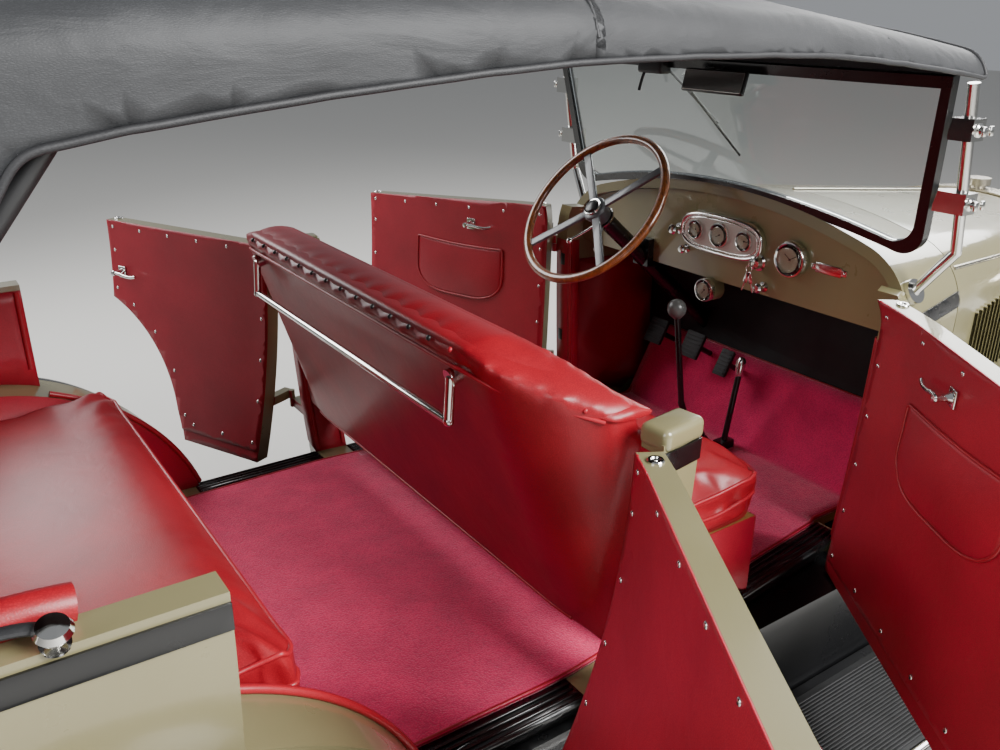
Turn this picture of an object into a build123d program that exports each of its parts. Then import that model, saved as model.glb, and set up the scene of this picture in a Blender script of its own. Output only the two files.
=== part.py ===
from build123d import *
import math
import os

# A four-door open touring car of the 1920s, parked with its doors open and its top up.
# Millimetres. X runs forward from the hinge line of the rear doors, Y to the car's left and Z
# up from the ground. save() moves each piece back so that X = 0 is at the car's mid-length.

# Running gear
wheelbase = 2845
front_axle_x = 2065
rear_axle_x = front_axle_x - wheelbase
track = 1422
tyre_radius = 381
tyre_half_width = 59
tyre_section = 114
bead_radius = tyre_radius - tyre_section
spoke_count = 12
hub_bore = 24.4
spindle_radius = 24
kingpin_y = track / 2 - 104
kingpin_z = tyre_radius + 1
kingpin_radius = 13

# Frame
rail_top = 574.7
rail_depth = 120
rail_inner_y = 345
rail_outer_y = 395
plate = 6
horn_bottom_z = 443
frame_rear_x = -1290
spare_member_x = -1190
horn_x = 2478
front_spring_half = 430
rear_spring_half = 490

# Body
body_bottom = 575
floor_top = 613
belt_z = 1158
door_top_front_z = 1205
wall = 45
sheet = 5
post_x = 793
post_half = 556
post_width = 40
pillar_length = 85
waist_half = 707
body_rear_x = -1180
rear_door_length = 621
cowl_front_x = 1130
cowl_front_half = 487
cowl_top_z = 1345
firewall_top_z = 1300
cowl_wall = 25
dash_x = 856

# Gaps
seat_gap = 0.3
door_gap = 6
sweep_gap = 14
sill_width = 60

# Hood and radiator
hood_front_x = 1990
hood_front_half = 292
hood_front_z = 1215
hood_bottom_z = 790
radiator_depth = 90
hood_rod_radius = 5
louvre_count = 18
louvre_first_x = 1850
louvre_pitch = 32
louvre_length = 22
louvre_rise = 9
louvre_bottom_z = 850
louvre_height = 210

# Fenders
fender_radius = 445
front_fender_z = 450
rear_fender_z = 470
rear_fender_radius = 430
fender_crown = 38
fender_crown_y = track / 2 + 24
fender_outer_y = track / 2 + 151
fender_inner_y = track / 2 - 111
board_top_z = 410
board_inner_y = fender_inner_y + 20
board_outer_y = fender_outer_y + 10
house_wall = 12
arch_radius = rear_fender_radius + fender_crown + house_wall + 2
wheelhouse_y = fender_inner_y - 40

# Doors: how far each stands open from the closed place, in degrees
front_left_open = 60
rear_left_open = 65
front_right_open = 50
rear_right_open = 60
hinge_stand_off = 10
hinge_heights = (720, 1085)
hinge_half_height = 24
hinge_split = 0.4
hinge_barrel = 8
hinge_reach = 30
cross_sill_x = (-420, 110, 640)

# Toe board: foot and top of its slope, as (x, z)
toe_low = (985, floor_top)
toe_high = (1100, 825)
toe_half = post_half - 31 - wall - sill_width - 10

# Seats
seat_back_top_z = 1262
seat_back_lean = 176
seat_back_bottom_z = 739
robe_bracket_y = 409
robe_bracket_z = 1206
front_cushion_front_x = 528
front_cushion_top_z = 915
rear_cushion_front_x = -466
rear_cushion_top_z = 939
rear_seat_half = wheelhouse_y - 10

# Steering
steer_x = 659
steer_y = 244
steer_z = 1260
steer_radius = 221
steer_tilt = 40
rim_wood_radius = 12
column_radius = 22

# Windscreen: its height follows the roof's
roof_crown_z = 1812
glass_bottom_x = 863
glass_top_x = 805
glass_bottom_z = 1285
glass_top_z = roof_crown_z - 210
glass_bottom_half = 509
glass_top_half = 548

# Top
roof_front_x = 838
roof_rear_x = -1130
fabric = 8
top_pivot_x = -1047
top_pivot_z = 1190
top_pivot_y = 636

# The car's ends are the crown of the front fenders and the face of the spare tyre
spare_stand_off = 100
front_end_x = front_axle_x + fender_radius + fender_crown
rear_end_x = body_rear_x - spare_stand_off - tyre_half_width
x_shift = -(front_end_x + rear_end_x) / 2


def save(shape, name):
    """Write one piece, moved so that X = 0 is mid-length."""
    export_step(Pos(x_shift, 0, 0) * shape, "parts/" + name + ".step")


def both(shape):
    """The piece and its mirror image on the other side of the car."""
    return Compound(list(shape.solids()) + list(mirror(shape, Plane.XZ).solids()))


def fuse_all(shapes):
    """One shape from a list of touching shapes."""
    first = shapes[0]
    return first.fuse(*shapes[1:]).clean() if len(shapes) > 1 else first


def box(x, y, z):
    """A block from its low and high place on each axis."""
    middle = [(low + high) / 2 for low, high in (x, y, z)]
    size = [high - low for low, high in (x, y, z)]
    return Pos(*middle) * Box(*size)


def rod(start, end, radius):
    """A round bar between two points."""
    line = Vector(*end) - Vector(*start)
    place = Plane(origin=start, z_dir=line)
    return place * Cylinder(radius, line.length, align=(Align.CENTER, Align.CENTER, Align.MIN))


def side_prism(points, y_low, y_high):
    """A side-view polygon of (x, z) points, given its width along Y."""
    face = Plane.XZ * Polygon(*points, align=None)
    return Pos(0, y_low, 0) * extrude(face, y_high - y_low, dir=(0, 1, 0))


def revolve_y(points, x, y, z):
    """A ring or hub from (y, radius) points, turned about an axle along Y."""
    face = Plane.XY * Polygon(*[(radius, across) for across, radius in points], align=None)
    return Pos(x, y, z) * revolve(face, Axis.Y)


tilt = math.radians(steer_tilt)
column_way = Vector(math.cos(tilt), 0, -math.sin(tilt))
steer_centre = Vector(steer_x, steer_y, steer_z)


def on_column(distance):
    """A point on the steering column, measured forward and down from the wheel's centre."""
    return tuple(steer_centre + column_way * distance)


# Body shell

def arch_face(x, half, bottom_z, top_z, crown_radius, corner_radius, tuck):
    """A section across the car at x: two sides, two round corners and a crowned top."""
    crown_z = top_z - crown_radius
    reach = crown_radius - corner_radius
    corner_y = half - corner_radius
    corner_z = crown_z + math.sqrt(reach**2 - corner_y**2)
    join_y = crown_radius * corner_y / reach
    join_z = crown_z + crown_radius * (corner_z - crown_z) / reach
    lean = math.atan2(corner_z - crown_z, corner_y) / 2
    bend = (corner_y + corner_radius * math.cos(lean), corner_z + corner_radius * math.sin(lean))
    waist_z = bottom_z + 0.5 * (corner_z - bottom_z)
    left = (half - tuck, bottom_z)
    waist = (half - 0.25 * tuck, waist_z)
    edges = [
        ThreePointArc((-join_y, join_z), (0, top_z), (join_y, join_z)),
        ThreePointArc((join_y, join_z), bend, (half, corner_z)),
        ThreePointArc((-join_y, join_z), (-bend[0], bend[1]), (-half, corner_z)),
        Line((-left[0], left[1]), left),
    ]
    if tuck > 0:
        edges.append(ThreePointArc((half, corner_z), waist, left))
        edges.append(ThreePointArc((-half, corner_z), (-waist[0], waist[1]), (-left[0], left[1])))
    else:
        edges.append(Line((half, corner_z), left))
        edges.append(Line((-half, corner_z), (-left[0], left[1])))
    place = Plane(origin=(x, 0, 0), x_dir=(0, 1, 0), z_dir=(1, 0, 0))
    return place * make_face(edges)


# Each row: height, inset of the outline at the front post, inset at the waist, rear end x
body_levels = [
    (body_bottom, 31, 103, body_rear_x + 70),
    (880, 9, 24, body_rear_x + 18),
    (1170, 0, 0, body_rear_x),
    (1215, 0, 1, body_rear_x),
]


def body_outline(level, inset, front_x):
    """The body's plan at one height, as a face."""
    z, post_in, waist_in, rear_x = level
    slope = (waist_half - waist_in - post_half + post_in) / post_x
    front_half = post_half - post_in - inset - slope * (front_x - post_x)
    waist = waist_half - waist_in - inset
    rear_half = waist - 17
    back = rear_x + inset
    points = [(front_x, front_half), (0, waist), (back, rear_half)]
    points += [(x, -y) for x, y in reversed(points)]
    face = Plane.XY.offset(z) * Polygon(*points, align=None)
    corner = [v for v in face.vertices() if abs(v.X - back) < 1]
    face = fillet(corner, 260 - inset)
    bend = [v for v in face.vertices() if abs(v.X) < 1]
    return fillet(bend, 900)


def body_form(inset, front_x):
    """The body's solid form from its four levels."""
    return loft([body_outline(level, inset, front_x) for level in body_levels], ruled=False)


cowl_rear_x = post_x + post_width
cowl_slope = (post_half - cowl_front_half) / (cowl_front_x - post_x)
cowl_fall = (cowl_top_z - firewall_top_z) / (cowl_front_x - post_x)


def cowl_half(x):
    """Half width of the cowl at its shoulders."""
    return post_half - cowl_slope * (x - post_x)


def cowl_crest(x):
    """Height of the cowl along its middle."""
    return cowl_top_z - cowl_fall * (x - post_x)


def cowl_face(x, inset, bottom_z):
    """Section of the cowl at x, drawn in by an inset."""
    share = (x - post_x) / (cowl_front_x - post_x)
    return arch_face(x, cowl_half(x) - inset, bottom_z, cowl_crest(x) - inset,
                     1500 - 150 * share - inset, 170 - 10 * share - inset, 31 - 11 * share)


def shoulder_form(inset):
    """Form that rolls the tops of the front doors inwards to meet the cowl's round shoulders."""
    return loft([
        arch_face(-1300, 900, 400, 2300, 6000, 60, 0),
        arch_face(0, waist_half + 3 - inset, 400, 1600 - inset, 4000, 90, 0),
        arch_face(cowl_rear_x + inset, cowl_half(cowl_rear_x + inset) - inset, 400,
                  cowl_crest(cowl_rear_x + inset) - inset, 1500 - inset, 170 - inset, 0),
    ], ruled=True)


body_outer = body_form(0, cowl_rear_x) & shoulder_form(0)
body_inner = body_form(wall, cowl_rear_x + wall) & shoulder_form(wall)
door_wall = wall - 6
door_inner = body_form(door_wall, cowl_rear_x + wall) & shoulder_form(door_wall)

body_side = [
    (body_rear_x - 50, body_bottom),
    (cowl_rear_x, body_bottom),
    (cowl_rear_x, door_top_front_z),
    (post_x, door_top_front_z),
    (pillar_length, belt_z),
    (body_rear_x - 50, belt_z),
]
body_trim = side_prism(body_side, -900, 900)
shell = (body_outer & body_trim) - body_inner

front_opening = [
    (pillar_length, body_bottom - 5),
    (post_x, body_bottom - 5),
    (post_x, 1300),
    (pillar_length, 1300),
]
rear_opening = [
    (-rear_door_length, body_bottom - 5),
    (0, body_bottom - 5),
    (0, 1300),
    (-rear_door_length, 1300),
]
arch = Pos(rear_axle_x, 0, rear_fender_z) * Rot(90, 0, 0) * Cylinder(arch_radius, 2000)
arch_gap = (Pos(rear_axle_x, 0, rear_fender_z) * Rot(90, 0, 0)
            * Cylinder(arch_radius + sweep_gap, 2000))
wheelhouse_inner = (Pos(rear_axle_x, 0, rear_fender_z) * Rot(90, 0, 0)
                    * Cylinder(arch_radius - house_wall, 2000))


def body_tub():
    """Wall, posts, sills, cross sills and rear wheelhouses, fused into one tub."""
    tub = shell - side_prism(front_opening, -900, 900) - side_prism(rear_opening, -900, 900)
    sill_band = box((body_rear_x, cowl_rear_x), (-900, 900), (body_bottom, floor_top))
    tub += (sill_band & body_inner) - body_form(wall + sill_width, cowl_rear_x + 60)
    side_zone = box((-1600, 0), (wheelhouse_y, 900), (500, 1000))
    tub -= both(side_zone & arch)
    hollow = box((-1600, 0), (wheelhouse_y + house_wall, 900), (500, 1000)) & wheelhouse_inner
    house = (side_zone & arch) - hollow
    tub += both(house) & body_outer
    for x in cross_sill_x:
        cross = box((x - 30, x + 30), (-900, 900), (body_bottom, body_bottom + 15))
        tub += cross & body_inner
    for x, y in (front_hinge, rear_hinge):
        tub += both(hinge_brackets(x, y, 1) - body_outer)
    return tub


def hinge_line(x, half):
    """Where a door's hinge pin stands: just outside the skin at the belt."""
    return (x, half + hinge_stand_off)


front_hinge = hinge_line(post_x, post_half)
rear_hinge = hinge_line(0, waist_half - 4)


def hinge_brackets(x, y, side):
    """Cast hinge halves at each height: side 1 stands on the post, side -1 on the door."""
    pieces = []
    for z in hinge_heights:
        low = z - hinge_half_height if side > 0 else z + hinge_split
        high = z - hinge_split if side > 0 else z + hinge_half_height
        pieces.append(Pos(x, y, (low + high) / 2) * Cylinder(hinge_barrel, high - low))
        reach = (x, x + hinge_reach) if side > 0 else (x - hinge_reach, x - hinge_barrel / 2)
        pieces.append(box(reach, (y - 130, y + hinge_barrel - 3), (low, high)))
    return Compound(pieces)


def door(points, hinge, rear_x, cut_arch):
    """A left door cut from the body's wall, closed, with its hinge halves."""
    gap_front = hinge[0] - door_gap
    leaf = (body_outer & body_trim) - door_inner
    leaf &= side_prism(points, 300, 900)
    # The rear edge slants forward on the inside, so that it clears the jamb as it swings
    plan = [
        (gap_front, 300),
        (gap_front, 900),
        (rear_x + door_gap, 900),
        (rear_x + door_gap, waist_half),
        (rear_x + door_gap + 26, waist_half - 170),
        (rear_x + door_gap + 26, 300),
    ]
    leaf &= Pos(0, 0, body_bottom + door_gap) * extrude(Polygon(*plan, align=None), 900, dir=(0, 0, 1))
    if cut_arch:
        # The ring is what the rear fender takes of the door's way as the door swings about its pin
        leaf -= arch_gap
        leaf -= Pos(hinge[0], hinge[1], rear_fender_z) * Torus(
            hinge[0] - rear_axle_x, rear_fender_radius + fender_crown + door_gap)
    leaf += hinge_brackets(hinge[0], hinge[1], -1) - body_outer
    return leaf


def swing(shape, hinge, angle):
    """Turn a left door outwards about its upright hinge pin."""
    pin = Axis((hinge[0], hinge[1], 0), (0, 0, 1))
    return shape.rotate(pin, -angle)


front_leaf = door(front_opening, front_hinge, pillar_length, False)
rear_leaf = door(rear_opening, rear_hinge, -rear_door_length, True)


def cowl():
    """Scuttle between the front posts and the hood, closed in front by the firewall."""
    outer = loft([cowl_face(cowl_rear_x, 0, body_bottom), cowl_face(cowl_front_x, 0, body_bottom)])
    inner = loft([
        cowl_face(cowl_rear_x - 40, cowl_wall, body_bottom - 40),
        cowl_face(cowl_front_x - cowl_wall, cowl_wall, body_bottom - 40),
    ])
    # The rear edge leans forward from the door tops to the dash
    lip = side_prism([
        (cowl_rear_x - 40, door_top_front_z),
        (cowl_rear_x, door_top_front_z),
        (dash_x - 5, cowl_top_z),
        (dash_x - 5, cowl_top_z + 60),
        (cowl_rear_x - 40, cowl_top_z + 60),
    ], -700, 700)
    return outer - inner - lip - rod(on_column(300), on_column(900), column_radius + 2)


def hood_half():
    """The left side of the hood: top and side panel, hinged along the middle."""
    back_x = cowl_front_x + door_gap
    front_x = hood_front_x - door_gap - 1
    outer = loft([
        arch_face(back_x, cowl_front_half - 2, hood_bottom_z, firewall_top_z - 1, 1350, 160, 0),
        arch_face(front_x, hood_front_half, hood_bottom_z, hood_front_z, 800, 95, 0),
    ])
    inner = loft([
        arch_face(back_x - 1, cowl_front_half - 6, hood_bottom_z - 50, firewall_top_z - 5, 1346, 156, 0),
        arch_face(front_x + 1, hood_front_half - 4, hood_bottom_z - 50, hood_front_z - 4, 796, 91, 0),
    ])
    half = (outer - inner) & box((1000, 2100), (hood_rod_radius + seat_gap, 700), (600, 1500))
    slope = (cowl_front_half - 2 - hood_front_half) / (front_x - back_x)
    turn = -math.degrees(math.atan(slope))
    # A louvre's plan: along the panel from its closed front edge, and out from the panel's face
    bump = Polygon((0, 0), (-louvre_length, louvre_rise), (-louvre_length, -1), (0, -1), align=None)
    throat = Polygon((-6, -10), (-6, 0), (-louvre_length - 1, louvre_rise - 1), (-louvre_length - 1, -10),
                     align=None)
    for k in range(louvre_count):
        x = louvre_first_x - louvre_pitch * k
        y = hood_front_half + slope * (front_x - x)
        place = Pos(x, y, louvre_bottom_z) * Rot(0, 0, turn)
        half += place * extrude(bump, louvre_height, dir=(0, 0, 1))
        half -= place * Pos(0, 0, 2) * extrude(throat, louvre_height - 4, dir=(0, 0, 1))
    return half


hood_hinge_rear = (cowl_front_x + 0.9, 0, firewall_top_z - 1)
hood_hinge_front = (hood_front_x - 0.9, 0, hood_front_z)


def radiator_shell():
    """Plated surround of the radiator, with its filler cap and the hood's hinge rod."""
    ring = loft([
        arch_face(hood_front_x, hood_front_half + 6, rail_top + seat_gap, hood_front_z + 6, 800, 98, 0),
        arch_face(hood_front_x + radiator_depth, hood_front_half + 2, rail_top + seat_gap,
                  hood_front_z + 2, 800, 94, 0),
    ])
    ring -= extrude(arch_face(hood_front_x - 5, hood_front_half - 30, 640, hood_front_z - 55, 700, 70, 0),
                    radiator_depth + 10, dir=(1, 0, 0))
    neck = Pos(hood_front_x + 45, 0, hood_front_z - 10) * Cylinder(24, 50)
    cap = Pos(hood_front_x + 45, 0, hood_front_z + 24) * Cylinder(36, 22)
    return fuse_all([ring, neck, cap])


def radiator_core():
    """Finned block inside the surround."""
    face = arch_face(hood_front_x + 18, hood_front_half - 30.3, 640.3, hood_front_z - 55.3, 699.7, 69.7, 0)
    return extrude(face, 50, dir=(1, 0, 0))


def hood_rod():
    """Hinge rod along the top of the hood, from the cowl to the radiator."""
    return rod(hood_hinge_rear, hood_hinge_front, hood_rod_radius)


# Frame, axles and springs

def rail():
    """One pressed channel side rail, open towards the middle."""
    bottom = rail_top - rail_depth
    edges = [
        Line((frame_rear_x, rail_top), (1950, rail_top)),
        ThreePointArc((1950, rail_top), (2260, rail_top - 35), (horn_x, 470)),
        Line((horn_x, 470), (horn_x, horn_bottom_z)),
        ThreePointArc((horn_x, horn_bottom_z), (2240, bottom - 1), (1950, bottom)),
        Line((1950, bottom), (frame_rear_x + 90, bottom)),
        Line((frame_rear_x + 90, bottom), (frame_rear_x, bottom + 50)),
        Line((frame_rear_x, bottom + 50), (frame_rear_x, rail_top)),
    ]
    face = Plane.XZ * make_face(edges)
    width = rail_outer_y - rail_inner_y
    solid = Pos(0, rail_inner_y, 0) * extrude(face, width, dir=(0, 1, 0))
    pocket = Pos(0, rail_inner_y - plate, 0) * extrude(offset(face, -plate), width, dir=(0, 1, 0))
    return solid - pocket


crank_hole_radius = 14
front_spring_y = 370
rear_spring_y = 432
front_spring_top = 425
rear_spring_top = 466
front_camber = 12
rear_camber = 40
spring_eye = 16
leaf_count = 7
leaf_thick = 6

# Each row: x of the cross member, its half width along X, low z, high z
cross_members = [
    (spare_member_x, 25, 500, rail_top),
    (-430, 30, 512, rail_top - 8),
    (700, 30, 512, rail_top - 8),
    (2035, 40, 500, rail_top),
]


def frame():
    """Two side rails and the members that join them."""
    pieces = list(both(rail()).solids())
    for x, half, low, high in cross_members:
        member = box((x - half, x + half), (-rail_outer_y + 2, rail_outer_y - 2), (low, high))
        member -= box((x - half + plate, x + half - plate), (-380, 380), (low - 1, high - plate))
        pieces.append(member)
    eye_z = front_spring_top + front_camber - 4
    for side in (-1, 1):
        y = side * front_spring_y
        x = front_axle_x - front_spring_half
        pieces.append(box((x - 14, x + 14), (y - 20, y + 20),
                          (eye_z + spring_eye + seat_gap, rail_top - rail_depth + 2)))
        for end in (-1, 1):
            x = rear_axle_x + end * rear_spring_half
            z = rear_spring_top + rear_camber - 4
            pieces.append(rod((x, side * (rail_outer_y - 3), z), (x, side * (rear_spring_y - 25.3), z), 11))
    solid = fuse_all(pieces)
    return solid - rod((1980, 0, 538), (2100, 0, 538), crank_hole_radius)


def leaf_pack(middle_x, top_z, y, length, camber, width):
    """A semi-elliptic spring: leaves that shorten towards the bottom, with an eye at each end."""
    radius = length**2 / (8 * camber)
    centre_z = top_z + radius
    bands = []
    for k in range(leaf_count):
        reach = length / 2 * (1 - k / (leaf_count + 1))
        angle = math.asin(reach / radius)
        inner = radius + k * leaf_thick
        outer = inner + leaf_thick
        ends = []
        for r in (inner, outer):
            arc = [(middle_x + r * math.sin(a), centre_z - r * math.cos(a)) for a in (-angle, 0, angle)]
            ends.append(arc)
        low, high = ends
        bands.append(make_face([
            ThreePointArc(*low), ThreePointArc(*high), Line(low[0], high[0]), Line(low[2], high[2]),
        ]))
    outline = bands[0]
    for band in bands[1:]:
        outline += band
    pack = Pos(0, y - width / 2, 0) * extrude(Plane.XZ * outline, width, dir=(0, 1, 0))
    eye_z = top_z + camber
    for side in (-1, 1):
        eye = Pos(middle_x + side * length / 2, y, eye_z - 4)
        pack += eye * Rot(90, 0, 0) * Cylinder(spring_eye, width)
    return pack


def leaf_springs():
    """Four springs, clamped over the axles."""
    front = leaf_pack(front_axle_x, front_spring_top, front_spring_y, 2 * front_spring_half,
                      front_camber, 45)
    rear = leaf_pack(rear_axle_x, rear_spring_top, rear_spring_y, 2 * rear_spring_half,
                     rear_camber, 50)
    return Compound(list(both(front).solids()) + list(both(rear).solids()))


def front_axle():
    """Forged beam with an eye for each kingpin and pads for the springs."""
    edge = kingpin_y - 12
    low_y = front_spring_y + 30
    rise_y = (low_y + edge) / 2
    # Each row: y, top and bottom measured from the middle of the kingpin
    stations = [(edge, 30, -30), (rise_y, 14, -42), (low_y, -6, -60)]
    top = [(-y, kingpin_z + high) for y, high, low in stations]
    top += [(y, kingpin_z + high) for y, high, low in reversed(stations)]
    bottom = [(y, kingpin_z + low) for y, high, low in stations]
    bottom += [(-y, kingpin_z + low) for y, high, low in reversed(stations)]
    face = Plane.YZ * Polygon(*(top + bottom), align=None)
    beam = Pos(front_axle_x - 24, 0, 0) * extrude(face, 48, dir=(1, 0, 0))
    pocket = (low_y - 10, kingpin_z - 20, kingpin_z - 46)
    for low in (front_axle_x - 25, front_axle_x + 9):
        beam -= box((low, low + 16), (-pocket[0], pocket[0]), (pocket[2], pocket[1]))
    pad_z = front_spring_top - leaf_count * leaf_thick - seat_gap
    for side in (-1, 1):
        beam += Pos(front_axle_x, side * kingpin_y, kingpin_z) * Cylinder(26, 60)
        beam -= Pos(front_axle_x, side * kingpin_y, kingpin_z) * Cylinder(kingpin_radius + 0.4, 80)
        pad_y = side * front_spring_y
        beam += box((front_axle_x - 45, front_axle_x + 45), (pad_y - 25, pad_y + 25), (kingpin_z - 12, pad_z))
    return beam


def rear_axle():
    """Tube with the differential housing, shafts for the wheels and pads for the springs."""
    hub_y = track / 2
    profile = [
        (-hub_y - 45, 0), (-hub_y - 45, spindle_radius), (-hub_y + 58.5, spindle_radius), (-hub_y + 58.5, 60),
        (-hub_y + 74, 60), (-hub_y + 74, 38), (-150, 42), (-120, 90), (-60, 140),
        (60, 140), (120, 90), (150, 42), (hub_y - 74, 38), (hub_y - 74, 60), (hub_y - 58.5, 60),
        (hub_y - 58.5, spindle_radius), (hub_y + 45, spindle_radius), (hub_y + 45, 0),
    ]
    solid = revolve_y(profile, rear_axle_x, 0, tyre_radius)
    for side in (-1, 1):
        pad_y = side * rear_spring_y
        solid += box((rear_axle_x - 50, rear_axle_x + 50), (pad_y - 30, pad_y + 30),
                     (tyre_radius, rear_spring_top - leaf_count * leaf_thick - seat_gap))
    return solid


def knuckle():
    """Left steering knuckle: yoke over the axle's eye, kingpin, wheel spindle and steering arm."""
    x = front_axle_x
    z = kingpin_z
    pin = Pos(x, kingpin_y, z) * Cylinder(kingpin_radius, 100)
    upper = Pos(x, kingpin_y, z + 42) * Cylinder(26, 20)
    lower = Pos(x, kingpin_y, z - 42) * Cylinder(26, 20)
    back = box((x - 24, x + 24), (kingpin_y + 28, track / 2 - 58.5), (z - 52, z + 52))
    arms = box((x - 22, x + 22), (kingpin_y, kingpin_y + 40), (z + 32, z + 52))
    arms_low = box((x - 22, x + 22), (kingpin_y, kingpin_y + 40), (z - 52, z - 32))
    spindle = rod((x, kingpin_y + 30, tyre_radius), (x, track / 2 + 45, tyre_radius), spindle_radius)
    arm = box((x - 160, x), (kingpin_y - 12, kingpin_y + 12), (z - 52, z - 36))
    return fuse_all([pin, upper, lower, back, arms, arms_low, spindle, arm])


tie_rod_x = front_axle_x - 145
tie_rod_z = kingpin_z - 64


def tie_rod():
    """Rod that joins the two steering arms."""
    bar = rod((tie_rod_x, -kingpin_y, tie_rod_z), (tie_rod_x, kingpin_y, tie_rod_z), 9)
    for side in (-1, 1):
        bar += Pos(tie_rod_x, side * kingpin_y, tie_rod_z) * Cylinder(17, 23)
    return bar


# Wheels: drawn at the origin with +Y outboard

# The steel rim that holds the tyre's beads, as (y, radius)
rim_channel = [
    (46, bead_radius - 17),
    (46, bead_radius + 14),
    (40.5, bead_radius + 14),
    (40.5, bead_radius),
    (-40.5, bead_radius),
    (-40.5, bead_radius + 14),
    (-46, bead_radius + 14),
    (-46, bead_radius - 17),
]


def wheel(with_drum):
    """Wooden spoked wheel with its hub, felloe and steel rim."""
    hub = revolve_y([
        (-58, hub_bore), (-58, 52), (-32, 52), (-32, 92), (-22, 92), (-22, 50), (24, 50), (24, 88),
        (32, 88), (40, 46), (60, 40), (60, 34), (88, 30), (92, 0), (52, 0), (52, hub_bore),
    ], 0, 0, 0)
    felloe = bead_radius - 43
    inner = [(-28, felloe), (28, felloe), (28, bead_radius - 20)]
    rim = revolve_y(inner + rim_channel + [(-28, bead_radius - 20)], 0, 0, 0)
    pieces = [hub, rim]
    spoke_foot = 47
    spoke_length = felloe + 5 - spoke_foot
    for k in range(spoke_count):
        spoke = Pos(0, 0, spoke_foot + spoke_length / 2) * Cone(21, 16, spoke_length)
        pieces.append(Rot(0, 360 / spoke_count * (k + 0.5), 0) * spoke)
    if with_drum:
        drum = [(-34, 50), (-34, 168), (-78, 168), (-78, 160), (-42, 160), (-42, 50)]
        pieces.append(revolve_y(drum, 0, 0, 0))
    return fuse_all(pieces)


def tyre():
    """Tyre with a round tread, seated on the rim."""
    bead = bead_radius + seat_gap
    shoulder = tyre_radius - 12
    half = tyre_half_width
    edges = [
        Line((bead, -38), (bead, 38)),
        Line((bead, 38), (bead + 16, 38)),
        ThreePointArc((bead + 16, 38), (bead + 55, half), (shoulder, 42)),
        ThreePointArc((shoulder, 42), (tyre_radius, 0), (shoulder, -42)),
        ThreePointArc((shoulder, -42), (bead + 55, -half), (bead + 16, -38)),
        Line((bead + 16, -38), (bead, -38)),
    ]
    return revolve(make_face(edges), Axis.Y)


# Fenders and running boards

def fender_section(place, inner_drop):
    """Crowned section with a turned-down outer edge, and an inner valance if it has a drop."""
    crown = fender_crown
    skin = sheet
    edge_y = fender_outer_y
    outer = [(edge_y, 46), (edge_y, 30)]
    edges = [Line(outer[0], outer[1])]
    edges.append(ThreePointArc((edge_y, 30), (fender_crown_y, -crown), (fender_inner_y, 0)))
    inner_edge = (fender_inner_y, skin)
    if inner_drop > 0:
        foot = (rail_outer_y + seat_gap, inner_drop)
        foot_inner = (rail_outer_y + seat_gap, inner_drop + skin)
        edges.append(Line((fender_inner_y, 0), foot))
        edges.append(Line(foot, foot_inner))
        edges.append(Line(foot_inner, inner_edge))
    else:
        edges.append(Line((fender_inner_y, 0), inner_edge))
    edges.append(ThreePointArc(inner_edge, (fender_crown_y, -crown + skin), (edge_y - skin, 32)))
    edges.append(Line((edge_y - skin, 32), (edge_y - skin, 46)))
    edges.append(Line((edge_y - skin, 46), outer[0]))
    return place * make_face(edges)


def front_fender():
    """Left front fender: over the wheel, then swept down to the running board."""
    start = -8
    turn = 55
    finish = 90 + turn
    bend = 300
    cx = front_axle_x
    cz = front_fender_z
    radius = fender_radius
    t = math.radians(finish)
    top = (cx + radius * math.cos(t), cz + radius * math.sin(t))
    slope = (-math.sin(t), math.cos(t))
    bend_drop = bend * (1 - math.cos(math.radians(turn)))
    run = (top[1] - board_top_z - bend_drop) / -slope[1]
    knee = (top[0] + slope[0] * run, top[1] + slope[1] * run)
    toe = (knee[0] - bend * math.sin(math.radians(turn)), board_top_z)
    bend_centre = (toe[0], board_top_z + bend)
    mid = math.radians(turn / 2)
    bend_mid = (bend_centre[0] + bend * math.sin(mid), bend_centre[1] - bend * math.cos(mid))
    a = math.radians(start)
    first = (cx + radius * math.cos(a), cz + radius * math.sin(a))
    b = math.radians((start + finish) / 2)
    middle = (cx + radius * math.cos(b), cz + radius * math.sin(b))
    path = Wire([
        Plane.XZ * ThreePointArc(first, middle, top),
        Plane.XZ * Line(top, knee),
        Plane.XZ * ThreePointArc(knee, bend_mid, toe),
    ])
    place = Plane(origin=(first[0], 0, first[1]), x_dir=(0, 1, 0), z_dir=(-math.sin(a), 0, math.cos(a)))
    solid = sweep(fender_section(place, 104), path=path)
    solid -= box((600, 1900), (300, board_inner_y - 1), (100, board_top_z - 1))
    return solid, toe[0]


def rear_fender():
    """Left rear fender: up from the running board and round the wheel."""
    finish = 195
    cx = rear_axle_x
    cz = rear_fender_z
    radius = rear_fender_radius
    t = math.radians(finish)
    last = (cx + radius * math.cos(t), cz + radius * math.sin(t))
    m = math.radians(finish / 2)
    middle = (cx + radius * math.cos(m), cz + radius * math.sin(m))
    foot = (cx + radius, board_top_z - 25)
    hip = (cx + radius, cz)
    path = Wire([Plane.XZ * Line(foot, hip), Plane.XZ * ThreePointArc(hip, middle, last)])
    place = Plane(origin=(foot[0], 0, foot[1]), x_dir=(0, 1, 0), z_dir=(0, 0, 1))
    return sweep(fender_section(place, 0), path=path)


front_fender_left, board_front_x = front_fender()
board_rear_x = rear_axle_x + rear_fender_radius + fender_crown + 1.3
apron_top_z = body_bottom - seat_gap


def running_board():
    """Left running board: a step plate with a folded edge."""
    length = (board_rear_x, board_front_x - seat_gap)
    board = box(length, (board_inner_y, board_outer_y), (board_top_z - 25, board_top_z))
    board -= box((length[0] + plate, length[1] - plate), (board_inner_y + plate, board_outer_y - plate),
                 (board_top_z - 40, board_top_z - plate))
    return board


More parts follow.
